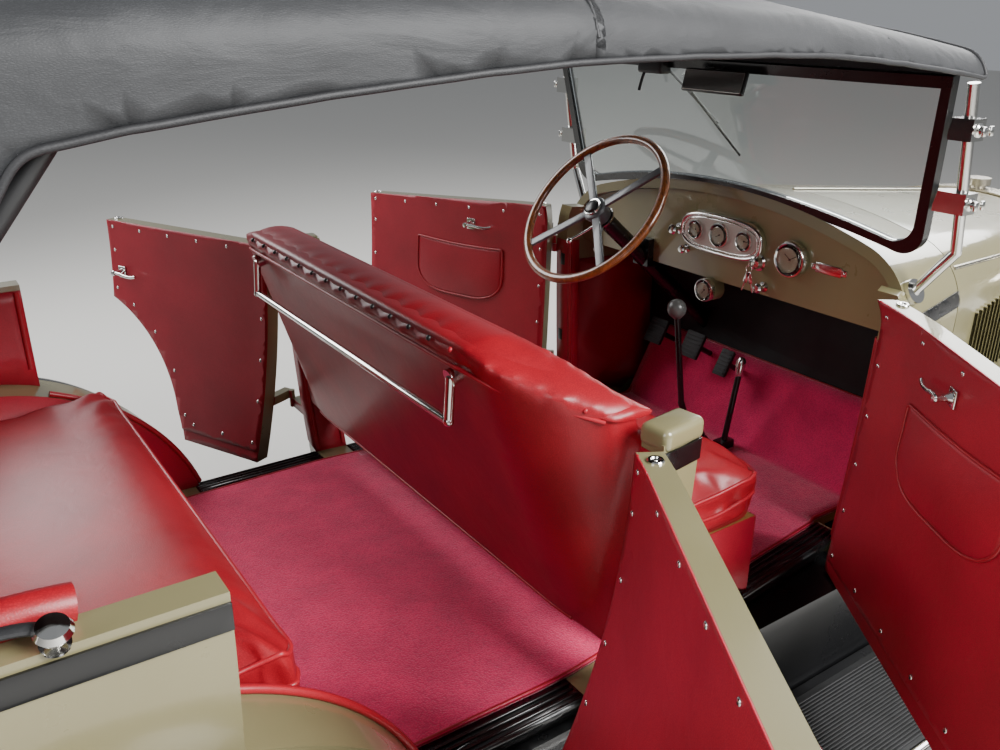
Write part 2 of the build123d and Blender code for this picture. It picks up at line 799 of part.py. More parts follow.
def apron():
    """Left splash apron from the frame down to the running board, and the panel beside the engine."""
    top = apron_top_z
    thick = 4
    y0 = rail_outer_y + seat_gap
    y1 = board_inner_y - 40
    y2 = board_inner_y - 1
    z2 = board_top_z - 20
    edges = [
        Line((y0, top), (y1, top)),
        Line((y1, top), (y2, z2)),
        Line((y2, z2), (y2 - thick, z2)),
        Line((y2 - thick, z2), (y1 - 3, top - thick)),
        Line((y1 - 3, top - thick), (y0, top - thick)),
        Line((y0, top - thick), (y0, top)),
    ]
    face = Plane.YZ * make_face(edges)
    skirt = Pos(board_rear_x, 0, 0) * extrude(face, board_front_x - board_rear_x - 2, dir=(1, 0, 0))
    low = rail_top + seat_gap
    ledge_z = hood_bottom_z - seat_gap
    back_x = cowl_front_x + 4
    side = box((back_x, hood_front_x - 1), (rail_outer_y - 7, rail_outer_y - 3), (low, ledge_z))
    nose = side_prism([(hood_front_x - 2, low), (front_axle_x + 300, low), (front_axle_x + 240, 680),
                       (front_axle_x + 120, 755), (hood_front_x - 2, ledge_z)],
                      rail_outer_y - 7, rail_outer_y - 3)
    cross_x = 1560
    ledge = Pos(0, 0, ledge_z - 4) * extrude(Polygon(
        (back_x, rail_outer_y - 15), (back_x, cowl_front_half + 4), (cross_x, rail_outer_y - 3),
        (hood_front_x - 2, rail_outer_y - 3), (hood_front_x - 2, hood_front_half - 10),
        (cross_x, rail_outer_y - 20), align=None), 4, dir=(0, 0, 1))
    return skirt, fuse_all([side, nose, ledge])


# Power unit, exhaust and tank

def engine():
    """Plain block in the engine's place, on four arms that rest on the frame."""
    block = box((1240, 1900), (-150, 150), (430, 1080))
    for x in (1320, 1800):
        block += box((x - 30, x + 30), (-370, 370), (rail_top + seat_gap, rail_top + 22))
    return block


def drive_line():
    """Gearbox behind the engine and the shaft back to the axle."""
    gearbox = box((850, 1240 - seat_gap), (-110, 110), (430, 570))
    shaft = rod((852, 0, 480), (rear_axle_x + 141, 0, tyre_radius + 12), 28)
    return gearbox + shaft


def exhaust():
    """Pipe and silencer along the right side, under the floor."""
    points = [
        (1500, -150 - seat_gap, 620),
        (1500, -200, 620),
        (1500, -200, 530),
        (1000, -250, 470),
        (-420, -250, 470),
    ]
    pieces = [rod(a, b, 22) for a, b in zip(points, points[1:])]
    pieces += [Pos(*p) * Sphere(22) for p in points[1:-1]]
    pieces.append(rod((200, -250, 470), (-350, -250, 470), 65))
    return fuse_all(pieces)


def fuel_tank():
    """Round-ended tank hung between the rails at the back."""
    face = Plane.XZ * (Pos(-1070, 498) * RectangleRounded(170, 150, 60))
    half = rail_inner_y - seat_gap
    return Pos(0, -half, 0) * extrude(face, 2 * half, dir=(0, 1, 0))


# Seats: plain closed forms

def floor():
    """Floor boards, toe board and the boxes under both seats."""
    slab = box((body_rear_x, post_x + 20), (-900, 900), (body_bottom + 15 + seat_gap, floor_top))
    ring = body_form(wall + sill_width + 1, cowl_rear_x + 60)
    boards = slab & ring
    under = body_bottom + 15 + seat_gap
    toe = side_prism([(post_x + 20, under), (toe_low[0] + 15, under),
                      (toe_high[0], toe_high[1] - 28), toe_high, toe_low, (post_x + 20, floor_top)],
                     -toe_half, toe_half)
    front_box = box((130, 480), (-505, 505), (floor_top, 790))
    rear_box = box((-900, -490), (-rear_seat_half, rear_seat_half), (floor_top, 800))
    return fuse_all([boards, toe, front_box, rear_box])


def front_cushion():
    """Front seat cushion."""
    return side_prism([(140, 790.3), (518, 790.3), (front_cushion_front_x, 830), (front_cushion_front_x, 895),
                       (500, front_cushion_top_z), (140, 880)], -535, 535)


def front_back():
    """Front seat back: leans rearwards and wraps forward to the door posts at its ends."""
    # Each row: height, rear x, end x at the posts, half width of the flat, half width, thickness
    rows = [
        (seat_back_bottom_z, 0, 30, 500, 590, 100),
        (seat_back_top_z, -seat_back_lean, -40, 480, 640, 115),
    ]
    faces = []
    for z, rear_x, end_x, flat, half, thick in rows:
        front_x = rear_x + thick
        lip_x = end_x + thick / 2
        middle = (flat + half) / 2
        rear_bend = (rear_x + (end_x - rear_x) * 0.4, middle + 14)
        front_bend = (front_x + (end_x - rear_x) * 0.25, middle - 20)
        edges = [Line((rear_x, -flat), (rear_x, flat)), Line((front_x, 40 - flat), (front_x, flat - 40))]
        for side in (-1, 1):
            end = (end_x, side * half)
            lip = (lip_x, side * half)
            edges += [
                ThreePointArc((rear_x, side * flat), (rear_bend[0], side * rear_bend[1]), end),
                Line(end, lip),
                ThreePointArc(lip, (front_bend[0], side * front_bend[1]), (front_x, side * (flat - 40))),
            ]
        faces.append(Plane.XY.offset(z) * make_face(edges))
    back = loft(faces, ruled=True)
    top = [
        Line((-700, 700), (700, 700)),
        Line((700, 700), (700, 1186)),
        Line((700, 1186), (640, 1186)),
        ThreePointArc((640, 1186), (560, 1225), (440, seat_back_top_z)),
        Line((440, seat_back_top_z), (-440, seat_back_top_z)),
        ThreePointArc((-440, seat_back_top_z), (-560, 1225), (-640, 1186)),
        Line((-640, 1186), (-700, 1186)),
        Line((-700, 1186), (-700, 700)),
    ]
    trim = Pos(-400, 0, 0) * extrude(Plane.YZ * make_face(top), 800, dir=(1, 0, 0))
    room = body_form(wall + sweep_gap, post_x)
    room += extrude(body_outline(body_levels[-1], wall + sweep_gap, post_x), seat_back_top_z - door_top_front_z,
                    dir=(0, 0, 1))
    back = back & trim & room
    # The ends of the seat back rest against the door posts
    wings = box((4, pillar_length - 20), (-700, -540), (seat_back_bottom_z + 5, belt_z - 20))
    return fuse_all([back, wings & body_form(wall + seat_gap, post_x),
                     mirror(wings, Plane.XZ) & body_form(wall + seat_gap, post_x)])


def rear_cushion():
    """Rear seat cushion."""
    return side_prism([(-940, 800.3), (-480, 800.3), (rear_cushion_front_x, 850), (rear_cushion_front_x, 915),
                       (-500, rear_cushion_top_z), (-935, 900)], -rear_seat_half, rear_seat_half)


def rear_back():
    """Rear seat back against the rear wall."""
    wall_x = body_rear_x + 30
    points = [(-945, 800.3), (-938, 900), (-1015, 1210), (wall_x, 1210), (wall_x, 800.3)]
    return side_prism(points, -rear_seat_half, rear_seat_half) & body_form(wall + seat_gap, post_x)


def robe_rail():
    """Rail on the back of the front seat, on two brackets."""
    rise = seat_back_top_z - seat_back_bottom_z
    slant = math.hypot(rise, seat_back_lean)
    out = Vector(-rise / slant, 0, -seat_back_lean / slant)
    down = Vector(seat_back_lean / slant, 0, -rise / slant)
    seat_x = -seat_back_lean * (robe_bracket_z - seat_back_bottom_z) / rise
    pieces = []
    ends = []
    for y in (-robe_bracket_y, robe_bracket_y):
        base = Vector(seat_x, y, robe_bracket_z) + out * seat_gap
        pieces.append(rod(tuple(base), tuple(base + out * 18), 15))
        neck = base + out * 14
        end = base + out * 42 + down * 68
        pieces.append(rod(tuple(neck), tuple(end), 8))
        pieces.append(Pos(*tuple(end)) * Sphere(9))
        ends.append(tuple(end))
    pieces.append(rod(ends[0], ends[1], 7))
    return fuse_all(pieces)


# Controls

def steering_wheel():
    """Wooden rim on four flat spokes and a hub."""
    place = Plane(origin=(steer_x, steer_y, steer_z), x_dir=(0, 1, 0), z_dir=(-column_way))
    major = steer_radius - rim_wood_radius
    pieces = [Torus(major, rim_wood_radius)]
    pieces.append(Pos(0, 0, -22) * Cylinder(30, 40))
    for k in range(4):
        arm = Pos(major / 2 + 8, 0, -8) * Box(major - 20, 20, 7)
        pieces.append(Rot(0, 0, 45 + 90 * k) * arm)
    return place * fuse_all(pieces)


def steering_column():
    """Column jacket, its bracket under the dash and the steering box on the frame."""
    jacket = rod(on_column(43), on_column(960), column_radius)
    gear = Pos(*on_column(985)) * Rot(90, 0, 0) * Cylinder(58, 110)
    foot = box((1365, 1460), (steer_y - 10, rail_inner_y + 20), (rail_top + seat_gap, 625))
    clamp_x = dash_x - 1
    clamp_z = steer_z - (clamp_x - steer_x) * math.tan(tilt)
    clamp = box((clamp_x - 20, clamp_x - seat_gap), (steer_y - 28, steer_y + 28), (clamp_z - 10, 1160))
    return fuse_all([jacket, gear, foot, clamp])


def floor_controls():
    """Gear lever, hand brake and three pedals."""
    base = floor_top + seat_gap
    gear = fuse_all([
        Pos(860, 20, base + 20) * Cone(50, 22, 40),
        rod((860, 20, base + 30), (815, 30, 760), 9),
        Pos(815, 30, 760) * Sphere(9),
        rod((815, 30, 760), (770, 30, 1020), 8),
        Pos(768, 30, 1030) * Sphere(23),
    ])
    lever = fuse_all([
        box((905, 955), (-45, -15), (base, base + 30)),
        rod((930, -30, base + 20), (965, -30, 850), 8),
        Pos(965, -30, 855) * Sphere(12),
    ])
    run = toe_high[0] - toe_low[0]
    rise = toe_high[1] - toe_low[1]
    slant = math.hypot(run, rise)
    way_out = (-rise / slant, run / slant)
    pedals = []
    # Each row: y of the pedal, its place up the toe board, half width of the pad
    for y, share, half in ((325, 0.86, 30), (178, 0.86, 30), (51, 0.80, 18)):
        foot = (toe_low[0] + run * share + way_out[0] * seat_gap,
                toe_low[1] + rise * share + way_out[1] * seat_gap)
        end = (foot[0] + way_out[0] * 92, foot[1] + way_out[1] * 92)
        arm = rod((foot[0], y, foot[1]), (end[0], y, end[1]), 8)
        pad = Pos(end[0], y, end[1]) * Rot(0, math.degrees(math.atan2(run, rise)), 0) * Box(10, 2 * half, 70)
        pedals += list(fuse_all([arm, pad]).solids())
    return Compound(list(gear.solids()) + list(lever.solids()) + pedals)


def dashboard():
    """Curved dash panel with its instrument cluster, clock and gauge."""
    x = dash_x
    panel_thick = 6
    face = cowl_face(x, cowl_wall + 1, 1100)
    panel = extrude(face, panel_thick, dir=(1, 0, 0)) & loft([
        cowl_face(x - 20, cowl_wall + seat_gap, 1000), cowl_face(x + 60, cowl_wall + seat_gap, 1000)])
    cluster = Pos(x + 1, -21, 1217) * Rot(0, -90, 0) * extrude(RectangleRounded(96, 260, 46), 14)
    clock = Pos(x, -235, 1205) * Rot(0, 90, 0) * Cylinder(42, 30)
    gauge = Pos(x, 6, 1074) * Rot(0, 90, 0) * Cylinder(30, 40)
    return fuse_all([panel, cluster, clock, gauge]) - rod(on_column(100), on_column(500), column_radius + 2)


# Windscreen

screen_lean = math.atan2(glass_bottom_x - glass_top_x, glass_top_z - glass_bottom_z)
screen_height = math.hypot(glass_bottom_x - glass_top_x, glass_top_z - glass_bottom_z)
screen_plane = Plane(origin=(glass_bottom_x, 0, glass_bottom_z), x_dir=(0, 1, 0),
                     z_dir=(math.cos(screen_lean), 0, math.sin(screen_lean)))
screen_rise = 66
screen_band = 22
post_y = 590


def screen_outline(grow):
    """Outline of the glass, grown by a margin: arched foot, straight sides and flat top."""
    low = glass_bottom_half + grow
    high = glass_top_half + grow
    top = screen_height + grow
    edges = [
        ThreePointArc((-low, -grow), (0, screen_rise - grow), (low, -grow)),
        Line((low, -grow), (high, top)),
        Line((high, top), (-high, top)),
        Line((-high, top), (-low, -grow)),
    ]
    face = make_face(edges)
    feet = [v for v in face.vertices() if v.Y < 10]
    return fillet(feet, 50)


def cowl_seat():
    """The cowl's outer form grown by the seating gap, to cut what stands on it."""
    return loft([cowl_face(cowl_rear_x, -seat_gap, 500), cowl_face(cowl_front_x, -seat_gap, 500)])


def windscreen_frame():
    """Frame round the glass, seated on the cowl."""
    ring = extrude(screen_outline(screen_band), 11, both=True) - extrude(screen_outline(0), 20, both=True)
    return (screen_plane * ring) - cowl_seat()


def windscreen_glass():
    """The pane."""
    return screen_plane * extrude(screen_outline(-seat_gap), 3, both=True)


def windscreen_posts():
    """Left plated post beside the screen, with its foot on the cowl and two clamps."""
    foot_x = 868
    foot_z = 1195
    corner_z = cowl_crest(foot_x) - 1500 + math.sqrt(1330**2 - (cowl_half(foot_x) - 170) ** 2)
    skin_y = cowl_half(foot_x) - 170 + math.sqrt(170**2 - (foot_z - corner_z) ** 2)
    lean = math.atan2(foot_z - corner_z, skin_y - cowl_half(foot_x) + 170)
    out = Vector(0, math.cos(lean), math.sin(lean))
    base = Vector(foot_x, skin_y, foot_z) + out * seat_gap
    neck = base + out * 14
    knee = (880, post_y, 1292)
    head = (826, post_y, glass_top_z + 10)
    pieces = [
        rod(tuple(base), tuple(neck), 26),
        rod(tuple(base + out * 8), knee, 11),
        Pos(*knee) * Sphere(11),
        rod(knee, head, 11),
    ]
    for share in (0.3375, 0.773):
        z = glass_bottom_z + share * (glass_top_z - glass_bottom_z)
        edge = glass_bottom_half + screen_band + (glass_top_half - glass_bottom_half) * share
        x = knee[0] + (head[0] - knee[0]) * (z - knee[2]) / (head[2] - knee[2])
        pieces.append(box((x - 24, x + 18), (edge + 3, post_y + 20), (z - 20, z + 20)))
    return fuse_all(pieces) - cowl_seat()


# Top

# Each row: x of the section, half width at the belt, eave height, crown height
roof_sections = [
    (body_rear_x - 30, 668, roof_crown_z - 122, roof_crown_z - 57),
    (-420, 672, roof_crown_z - 64, roof_crown_z),
    (roof_front_x, 604, roof_crown_z - 147, roof_crown_z - 88),
]


def roof_form(inset):
    """Arched form of the whole top, from the windscreen to the back."""
    faces = []
    for x, half, eave, crown in roof_sections:
        rise = crown - eave
        crown_radius = ((half - 40) ** 2 + rise**2) / (2 * rise)
        faces.append(arch_face(x, half - inset, belt_z - 50, crown - inset, crown_radius, 60 - inset, 0))
    return loft(faces)


def back_form(inset):
    """Form whose rear corners are round in plan and whose back leans forward to the roof."""
    faces = []
    # Each row: height, rear x, half width, corner radius
    for z, rear_x, half, radius in (
        (belt_z - 60, body_rear_x + 4, waist_half - 20, 250),
        (roof_crown_z + 60, roof_rear_x + 20, 676, 150),
    ):
        plan = Polygon((1200, half - inset), (rear_x + inset, half - inset), (rear_x + inset, inset - half),
                       (1200, inset - half), align=None)
        corners = [v for v in plan.vertices() if v.X < 0]
        faces.append(Pos(0, 0, z) * fillet(corners, radius - inset))
    return loft(faces)


def top_cover():
    """Fabric top: roof, side valances and the back that comes down to the body."""
    cover = (roof_form(0) & back_form(0)) - (roof_form(fabric) & back_form(fabric))
    low = belt_z + seat_gap
    high = roof_crown_z + 90
    hem_front = (roof_front_x + 10, roof_crown_z - 194)
    hem_middle = (-30, roof_crown_z - 138)
    hem_rear = (-740, roof_crown_z - 198)
    edges = [
        ThreePointArc(hem_front, hem_middle, hem_rear),
        Line(hem_rear, (top_pivot_x + 20, low)),
        Line((top_pivot_x + 20, low), (body_rear_x - 20, low)),
        Line((body_rear_x - 20, low), (body_rear_x - 20, high)),
        Line((body_rear_x - 20, high), (roof_front_x + 10, high)),
        Line((roof_front_x + 10, high), hem_front),
    ]
    keep = Pos(0, -800, 0) * extrude(Plane.XZ * make_face(edges), 1600, dir=(0, 1, 0))
    return cover & keep


bow_x = (-1060, -640, -150, 350)
bow_depth = 20
bow_foot_z = roof_crown_z - 132
iron_top_z = roof_crown_z - 102


def top_bows():
    """Bent cross bows under the roof, with irons from the pivot on each side."""
    hollow = roof_form(fabric + seat_gap) & back_form(fabric + seat_gap)
    band = hollow - roof_form(fabric + bow_depth)
    pieces = []
    for x in bow_x:
        pieces.append(band & box((x - 16, x + 16), (-700, 700), (bow_foot_z, roof_crown_z + 90)))
    half = top_pivot_y
    for side in (-1, 1):
        for x in bow_x[:2]:
            top_end = (x, side * (half + 6), iron_top_z)
            pieces.append(rod((top_pivot_x, side * half, top_pivot_z), top_end, 11))
        boss = top_pivot_z - belt_z - seat_gap
        pieces.append(Pos(top_pivot_x, side * half, top_pivot_z) * Rot(90, 0, 0) * Cylinder(boss, 22))
        middle = (bow_x[3], side * (half - 20), iron_top_z - 15)
        pieces.append(rod((bow_x[1], side * (half + 6), iron_top_z - 8), middle, 9))
        pieces.append(rod(middle, (812, side * 575, iron_top_z - 55), 9))
    pieces.append(box((796, 832), (-600, 600), (glass_top_z + screen_band + 2, roof_crown_z - 52)))
    return fuse_all(pieces) & hollow


# Lamps and spare wheel

lamp_y = 400
lamp_z = 960
lamp_x = 2080
lamp_bar_z = 800


def nearest(shape, place):
    """The solid of a shape that lies nearest to a place."""
    return min(shape.solids(), key=lambda solid: (solid.center() - Vector(*place)).length)


def headlamps():
    """Two bowls with flat lenses on one cross bar between the fenders."""
    fenders = both(front_fender_left)
    bar_x = lamp_x + 40
    bar = rod((bar_x, -500, lamp_bar_z), (bar_x, 500, lamp_bar_z), 12)
    pieces = [nearest(bar - fenders, (bar_x, 0, lamp_bar_z))]
    for side in (-1, 1):
        profile = [(0, 0), (30, 62), (80, 100), (135, 112), (150, 112), (150, 0)]
        face = Polygon(*profile, align=None)
        pieces.append(Pos(lamp_x - 40, side * lamp_y, lamp_z) * revolve(face, Axis.X))
        pieces.append(rod((bar_x, side * lamp_y, lamp_z - 90), (bar_x, side * lamp_y, lamp_bar_z), 14))
    return fuse_all(pieces) - fenders


spare_x = body_rear_x - spare_stand_off
spare_z = 845


def spare_rim():
    """Spare rim on the ring and uprights of its carrier, which stand on the frame."""
    ring_radius = bead_radius - 32
    ring_inner = bead_radius - 97
    rim = revolve_y([(-28, ring_radius), (28, ring_radius)] + rim_channel, 0, 0, 0)
    ring = [(20, ring_inner), (28, ring_inner), (28, ring_radius + 2), (20, ring_radius + 2)]
    rim += revolve_y(ring, 0, 0, 0)
    rim = Pos(spare_x, 0, spare_z) * Rot(0, 0, -90) * rim
    front = spare_x + tyre_half_width + 8
    upright_y = 0.65 * (ring_inner + 30)
    stud_rise = 0.76 * (ring_inner + 30)
    upright = (rail_top + seat_gap, spare_z + stud_rise + 10)
    pieces = [rim]
    for side in (-1, 1):
        y = side * upright_y
        pieces.append(box((front, front + 12), (y - 18, y + 18), upright))
        for z in (spare_z - stud_rise, spare_z + stud_rise):
            pieces.append(rod((spare_x + 22, y, z), (front + 4, y, z), 13))
    return fuse_all(pieces)


def spare_tyre():
    """Spare tyre."""
    return Pos(spare_x, 0, spare_z) * Rot(0, 0, -90) * tyre()


def tail_lamps(fender):
    """Round lamps on stalks from the rear fenders."""
    lamp_face = rear_axle_x - rear_fender_radius - 115
    y = fender_crown_y - 35
    lamp = rod((lamp_face + 55, y, 640), (lamp_face, y, 640), 38)
    stalk = rod((lamp_face + 120, y, 600), (lamp_face + 50, y, 635), 9)
    return both(nearest((lamp + stalk) - fender, (lamp_face, y, 640)))


def main():
    """Build every piece and write it."""
    os.makedirs("parts", exist_ok=True)
    save(frame(), "frame")
    save(leaf_springs(), "leaf_springs")
    save(front_axle(), "front_axle")
    save(rear_axle(), "rear_axle")
    save(engine(), "engine")
    save(drive_line(), "drive_line")
    save(exhaust(), "exhaust")
    save(fuel_tank(), "fuel_tank")
    save(radiator_shell(), "radiator_shell")
    save(radiator_core(), "radiator_core")
    save(hood_rod(), "hood_rod")
    save(both(front_fender_left), "front_fenders")
    rear_fender_left = rear_fender()
    save(both(rear_fender_left), "rear_fenders")
    save(both(running_board()), "running_boards")
    skirt, panel = apron()
    save(Compound(list(both(skirt).solids()) + list(both(panel).solids())), "splash_aprons")
    save(headlamps(), "headlamps")
    save(spare_rim(), "spare_rim")
    save(spare_tyre(), "spare_tyre")
    save(tail_lamps(rear_fender_left), "tail_lamps")
    save(body_tub(), "body_tub")
    save(cowl(), "cowl")
    save(floor(), "floor")
    save(dashboard(), "dashboard")
    save(windscreen_frame(), "windscreen_frame")
    save(windscreen_glass(), "windscreen_glass")
    save(both(windscreen_posts()), "windscreen_posts")
    save(front_cushion(), "front_seat_cushion")
    save(front_back(), "front_seat_back")
    save(rear_cushion(), "rear_seat_cushion")
    save(rear_back(), "rear_seat_back")
    save(robe_rail(), "robe_rail")
    save(steering_column(), "steering_column")
    save(steering_wheel(), "steering_wheel")
    save(floor_controls(), "floor_controls")
    save(top_bows(), "top_bows")
    save(top_cover(), "top_cover")
    left_hood = hood_half()
    save(left_hood, "hood_left")
    save(mirror(left_hood, Plane.XZ), "hood_right")
    # Each row: name, leaf, hinge, angle on the left, angle on the right
    doors = [
        ("door_front", front_leaf, front_hinge, front_left_open, front_right_open),
        ("door_rear", rear_leaf, rear_hinge, rear_left_open, rear_right_open),
    ]
    for name, leaf, hinge, left_angle, right_angle in doors:
        save(swing(leaf, hinge, left_angle), name + "_left")
        save(mirror(swing(leaf, hinge, right_angle), Plane.XZ), name + "_right")
    left_knuckle = knuckle()
    save(left_knuckle, "knuckle_left")
    save(mirror(left_knuckle, Plane.XZ), "knuckle_right")
    save(tie_rod(), "tie_rod")
    # Each row: name, x of the axle, whether the wheel has a brake drum
    for name, x, drum in (("front", front_axle_x, False), ("rear", rear_axle_x, True)):
        place = Pos(x, track / 2, tyre_radius)
        left_wheel = place * wheel(drum)
        left_tyre = place * tyre()
        save(left_wheel, "wheel_" + name + "_left")
        save(mirror(left_wheel, Plane.XZ), "wheel_" + name + "_right")
        save(left_tyre, "tyre_" + name + "_left")
        save(mirror(left_tyre, Plane.XZ), "tyre_" + name + "_right")


main()
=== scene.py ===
"""Looks for an open touring car of the 1920s: paint, plating, leather, carpet, cloth top and fittings."""

import logging
from dataclasses import dataclass
from enum import Enum
from math import atan2, copysign, cos, hypot, pi, radians, sin, tau
from typing import Callable, ClassVar, Iterable, Optional, Sequence

import bmesh
import bpy
from mathutils import Matrix, Vector
from mathutils.bvhtree import BVHTree


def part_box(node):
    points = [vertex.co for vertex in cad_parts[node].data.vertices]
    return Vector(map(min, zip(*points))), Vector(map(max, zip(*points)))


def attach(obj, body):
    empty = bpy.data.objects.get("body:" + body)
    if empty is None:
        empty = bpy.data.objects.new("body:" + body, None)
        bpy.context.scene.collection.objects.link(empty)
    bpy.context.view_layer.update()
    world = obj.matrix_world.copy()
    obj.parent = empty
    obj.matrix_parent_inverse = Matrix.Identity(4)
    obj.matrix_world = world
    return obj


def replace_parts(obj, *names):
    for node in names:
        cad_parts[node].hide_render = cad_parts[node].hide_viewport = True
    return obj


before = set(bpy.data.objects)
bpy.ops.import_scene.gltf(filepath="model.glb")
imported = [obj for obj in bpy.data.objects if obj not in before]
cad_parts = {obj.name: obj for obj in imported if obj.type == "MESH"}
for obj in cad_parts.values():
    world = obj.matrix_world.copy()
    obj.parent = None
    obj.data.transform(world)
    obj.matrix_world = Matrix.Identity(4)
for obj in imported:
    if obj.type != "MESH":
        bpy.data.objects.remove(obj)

Colour = tuple[float, float, float, float]
Point = tuple[float, float, float]
Pair = tuple[float, float]
Shape = bmesh.types.BMesh
Piece = bpy.types.Object
Tree = bpy.types.NodeTree
Node = bpy.types.Node
Socket = bpy.types.NodeSocket

LOG = logging.getLogger("touring_car")
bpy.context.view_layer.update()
# Added to the part's own x, which the sizes below use, to give the frame's x
SHIFT_MM = -604.5
UP = Vector((0, 0, 1))
REARWARD = Vector((-1, 0, 0))
ORIGIN = Vector((0, 0, 0))
FRONT_AXLE_X = 2065.0
REAR_AXLE_X = -780.0
AXLE_Z = 381.0
# Middle of the wheelhouse's arch in the body's side
ARCH_Z = 470.0
# Distances in metres within which vertices are one: of a CAD mesh, of a made shape, and of a sliver left by cuts
CAD_MERGE = 2e-5
MERGE = 1e-6
SLIVER = 0.0008
# Lowest and highest place of the cuts along each axis
CELL_SPANS = (("x", -1200, 2300), ("y", -900, 900), ("z", 380, 1840))


class Side(Enum):
    """Which side of the car a piece is on, by the sign of y there."""

    LEFT = 1
    RIGHT = -1

    @property
    def label(self) -> str:
        """The side as it stands in the names of pieces and bodies."""
        return self.name.lower()


class Body(Enum):
    """The rigid bodies that pieces ride on."""

    CHASSIS = "chassis"
    WHEEL = "steering_wheel"


def at(x: float, y: float, z: float) -> Vector:
    """A place in row-frame metres from the part's own millimetres."""
    return Vector(((x + SHIFT_MM) / 1000, y / 1000, z / 1000))


def linear(hex_value: str) -> Colour:
    """An sRGB hex colour, such as "#8f8a5f", as an opaque linear one."""
    channels = [int(hex_value[i:i + 2], 16) / 255 for i in (1, 3, 5)]
    red, green, blue = [c / 12.92 if c <= 0.04045 else ((c + 0.055) / 1.055) ** 2.4 for c in channels]
    return red, green, blue, 1.0


def per_metre(size_mm: float) -> float:
    """A texture scale from the real size of one grain, thread or cell."""
    return 1000 / size_mm


def add_node(tree: Tree, kind: str, settings: Optional[dict] = None, links: Optional[dict] = None) -> Node:
    """Add one shader node.

    Args:
        tree: the material's nodes.
        kind: the node's type.
        settings: values for sockets, properties and the stops of a ramp.
        links: input socket to the output that feeds it.

    Returns:
        The new node.
    """
    item = tree.nodes.new(kind)
    for key, value in (settings or {}).items():
        if key == "stops":
            ramp = item.color_ramp
            while len(ramp.elements) < len(value):
                ramp.elements.new(0.5)
            for element, (position, colour) in zip(ramp.elements, value):
                element.position = position
                element.color = colour
        elif isinstance(key, int) or key in item.inputs:
            item.inputs[key].default_value = value
        else:
            setattr(item, key, value)
    for key, source in (links or {}).items():
        tree.links.new(source, item.inputs[key])
    return item


def emboss(tree: Tree, shader: Node, reliefs: Sequence[tuple[Socket, float, float]], sunk: bool = False) -> None:
    """Raise a surface by one relief over another.

    Args:
        tree: the material's nodes.
        shader: the finish's shader.
        reliefs: height, strength and depth in metres of each relief, the broadest first.
        sunk: whether the last one goes inwards.
    """
    links: dict = {}
    for number, (height, strength, depth) in enumerate(reliefs, 1):
        bump = add_node(tree, "ShaderNodeBump", {"Strength": strength, "Distance": depth,
                                                 "invert": sunk and number == len(reliefs)},
                        {"Height": height, **links})
        links = {"Normal": bump.outputs[0]}
    tree.links.new(links["Normal"], shader.inputs["Normal"])


def paint_hollow_shade(tree: Tree, shader: Node, tone: Socket, cells: Socket, greys: Sequence[Pair], share: float) -> None:
    """Lay painted shade in the hollows of a grain over a ground colour.

    Args:
        tree: the material's nodes.
        shader: the finish's shader.
        tone: the ground colour.
        cells: distance within each cell of the grain.
        greys: where on that distance the painted shade has which brightness.
        share: strength of the painted shade.
    """
    stops = [(spot, (grey, grey, grey, 1)) for spot, grey in greys]
    # The ramp's greys are painted shade, darkest in the grain's hollows.
    grain = add_node(tree, "ShaderNodeValToRGB", {"stops": stops}, {"Fac": cells})
    mixed = add_node(tree, "ShaderNodeMix", {"data_type": "RGBA", "blend_type": "MULTIPLY", 0: share},
                     {6: tone, 7: grain.outputs["Color"]})
    tree.links.new(mixed.outputs[2], shader.inputs["Base Color"])


# Finishes


@dataclass(frozen=True)
class Finish:
    """A finish with one ground colour; subclasses add its pattern and the slot of the record it fills."""

    name: str
    colour: str
    roughness: float = 0.5
    slot: ClassVar[str] = "black_paint"

    def material(self) -> bpy.types.Material:
        """The material of this finish, made once."""
        found = bpy.data.materials.get(self.name)
        if found:
            return found
        item = bpy.data.materials.new(self.name)
        item.use_nodes = True
        tree = item.node_tree
        tree.nodes.clear()
        shader = add_node(tree, "ShaderNodeBsdfPrincipled",
                          {"Base Color": linear(self.colour), "Roughness": self.roughness})
        add_node(tree, "ShaderNodeOutputMaterial", {}, {"Surface": shader.outputs[0]})
        coords = add_node(tree, "ShaderNodeTexCoord").outputs["Object"]
        self.dress(tree, shader, coords)
        return item

    def dress(self, tree: Tree, shader: Node, coords: Socket) -> None:
        """Add the pattern of the finish to its shader."""

    def scuff(self, tree: Tree, shader: Node, coords: Socket, size_mm: float, low: float, high: float,
              detail: float = 8.0) -> None:
        """Let the gloss wander, as dust, oil or a wiping cloth leaves it.

        Args:
            tree: the material's nodes.
            shader: the finish's shader.
            coords: Object coordinates.
            size_mm: size of one mark.
            low: share of the roughness where it shines most.
            high: share of the roughness where it is dullest.
            detail: fineness of the marks' edges.
        """
        marks = add_node(tree, "ShaderNodeTexNoise", {"Scale": per_metre(size_mm), "Detail": detail},
                         {"Vector": coords})
        rough = add_node(tree, "ShaderNodeMapRange",
                         {"To Min": self.roughness * low, "To Max": min(1.0, self.roughness * high)},
                         {"Value": marks.outputs["Fac"]})
        tree.links.new(rough.outputs[0], shader.inputs["Roughness"])


@dataclass(frozen=True)
class TwoTone(Finish):
    """A finish whose colour drifts to a second shade in patches."""

    shade: str = "#0a0a0a"

    def tones(self, tree: Tree, coords: Socket, size_mm: float, spread: float) -> Socket:
        """Slow change between the two colours over a real distance.

        Args:
            tree: the material's nodes.
            coords: Object coordinates.
            size_mm: size of one patch.
            spread: half width of the ramp.

        Returns:
            A colour socket.
        """
        noise = add_node(tree, "ShaderNodeTexNoise", {"Scale": per_metre(size_mm), "Detail": 5.0},
                         {"Vector": coords})
        stops = [(0.5 - spread, linear(self.shade)), (0.5 + spread, linear(self.colour))]
        ramp = add_node(tree, "ShaderNodeValToRGB", {"stops": stops}, {"Fac": noise.outputs["Fac"]})
        return ramp.outputs["Color"]


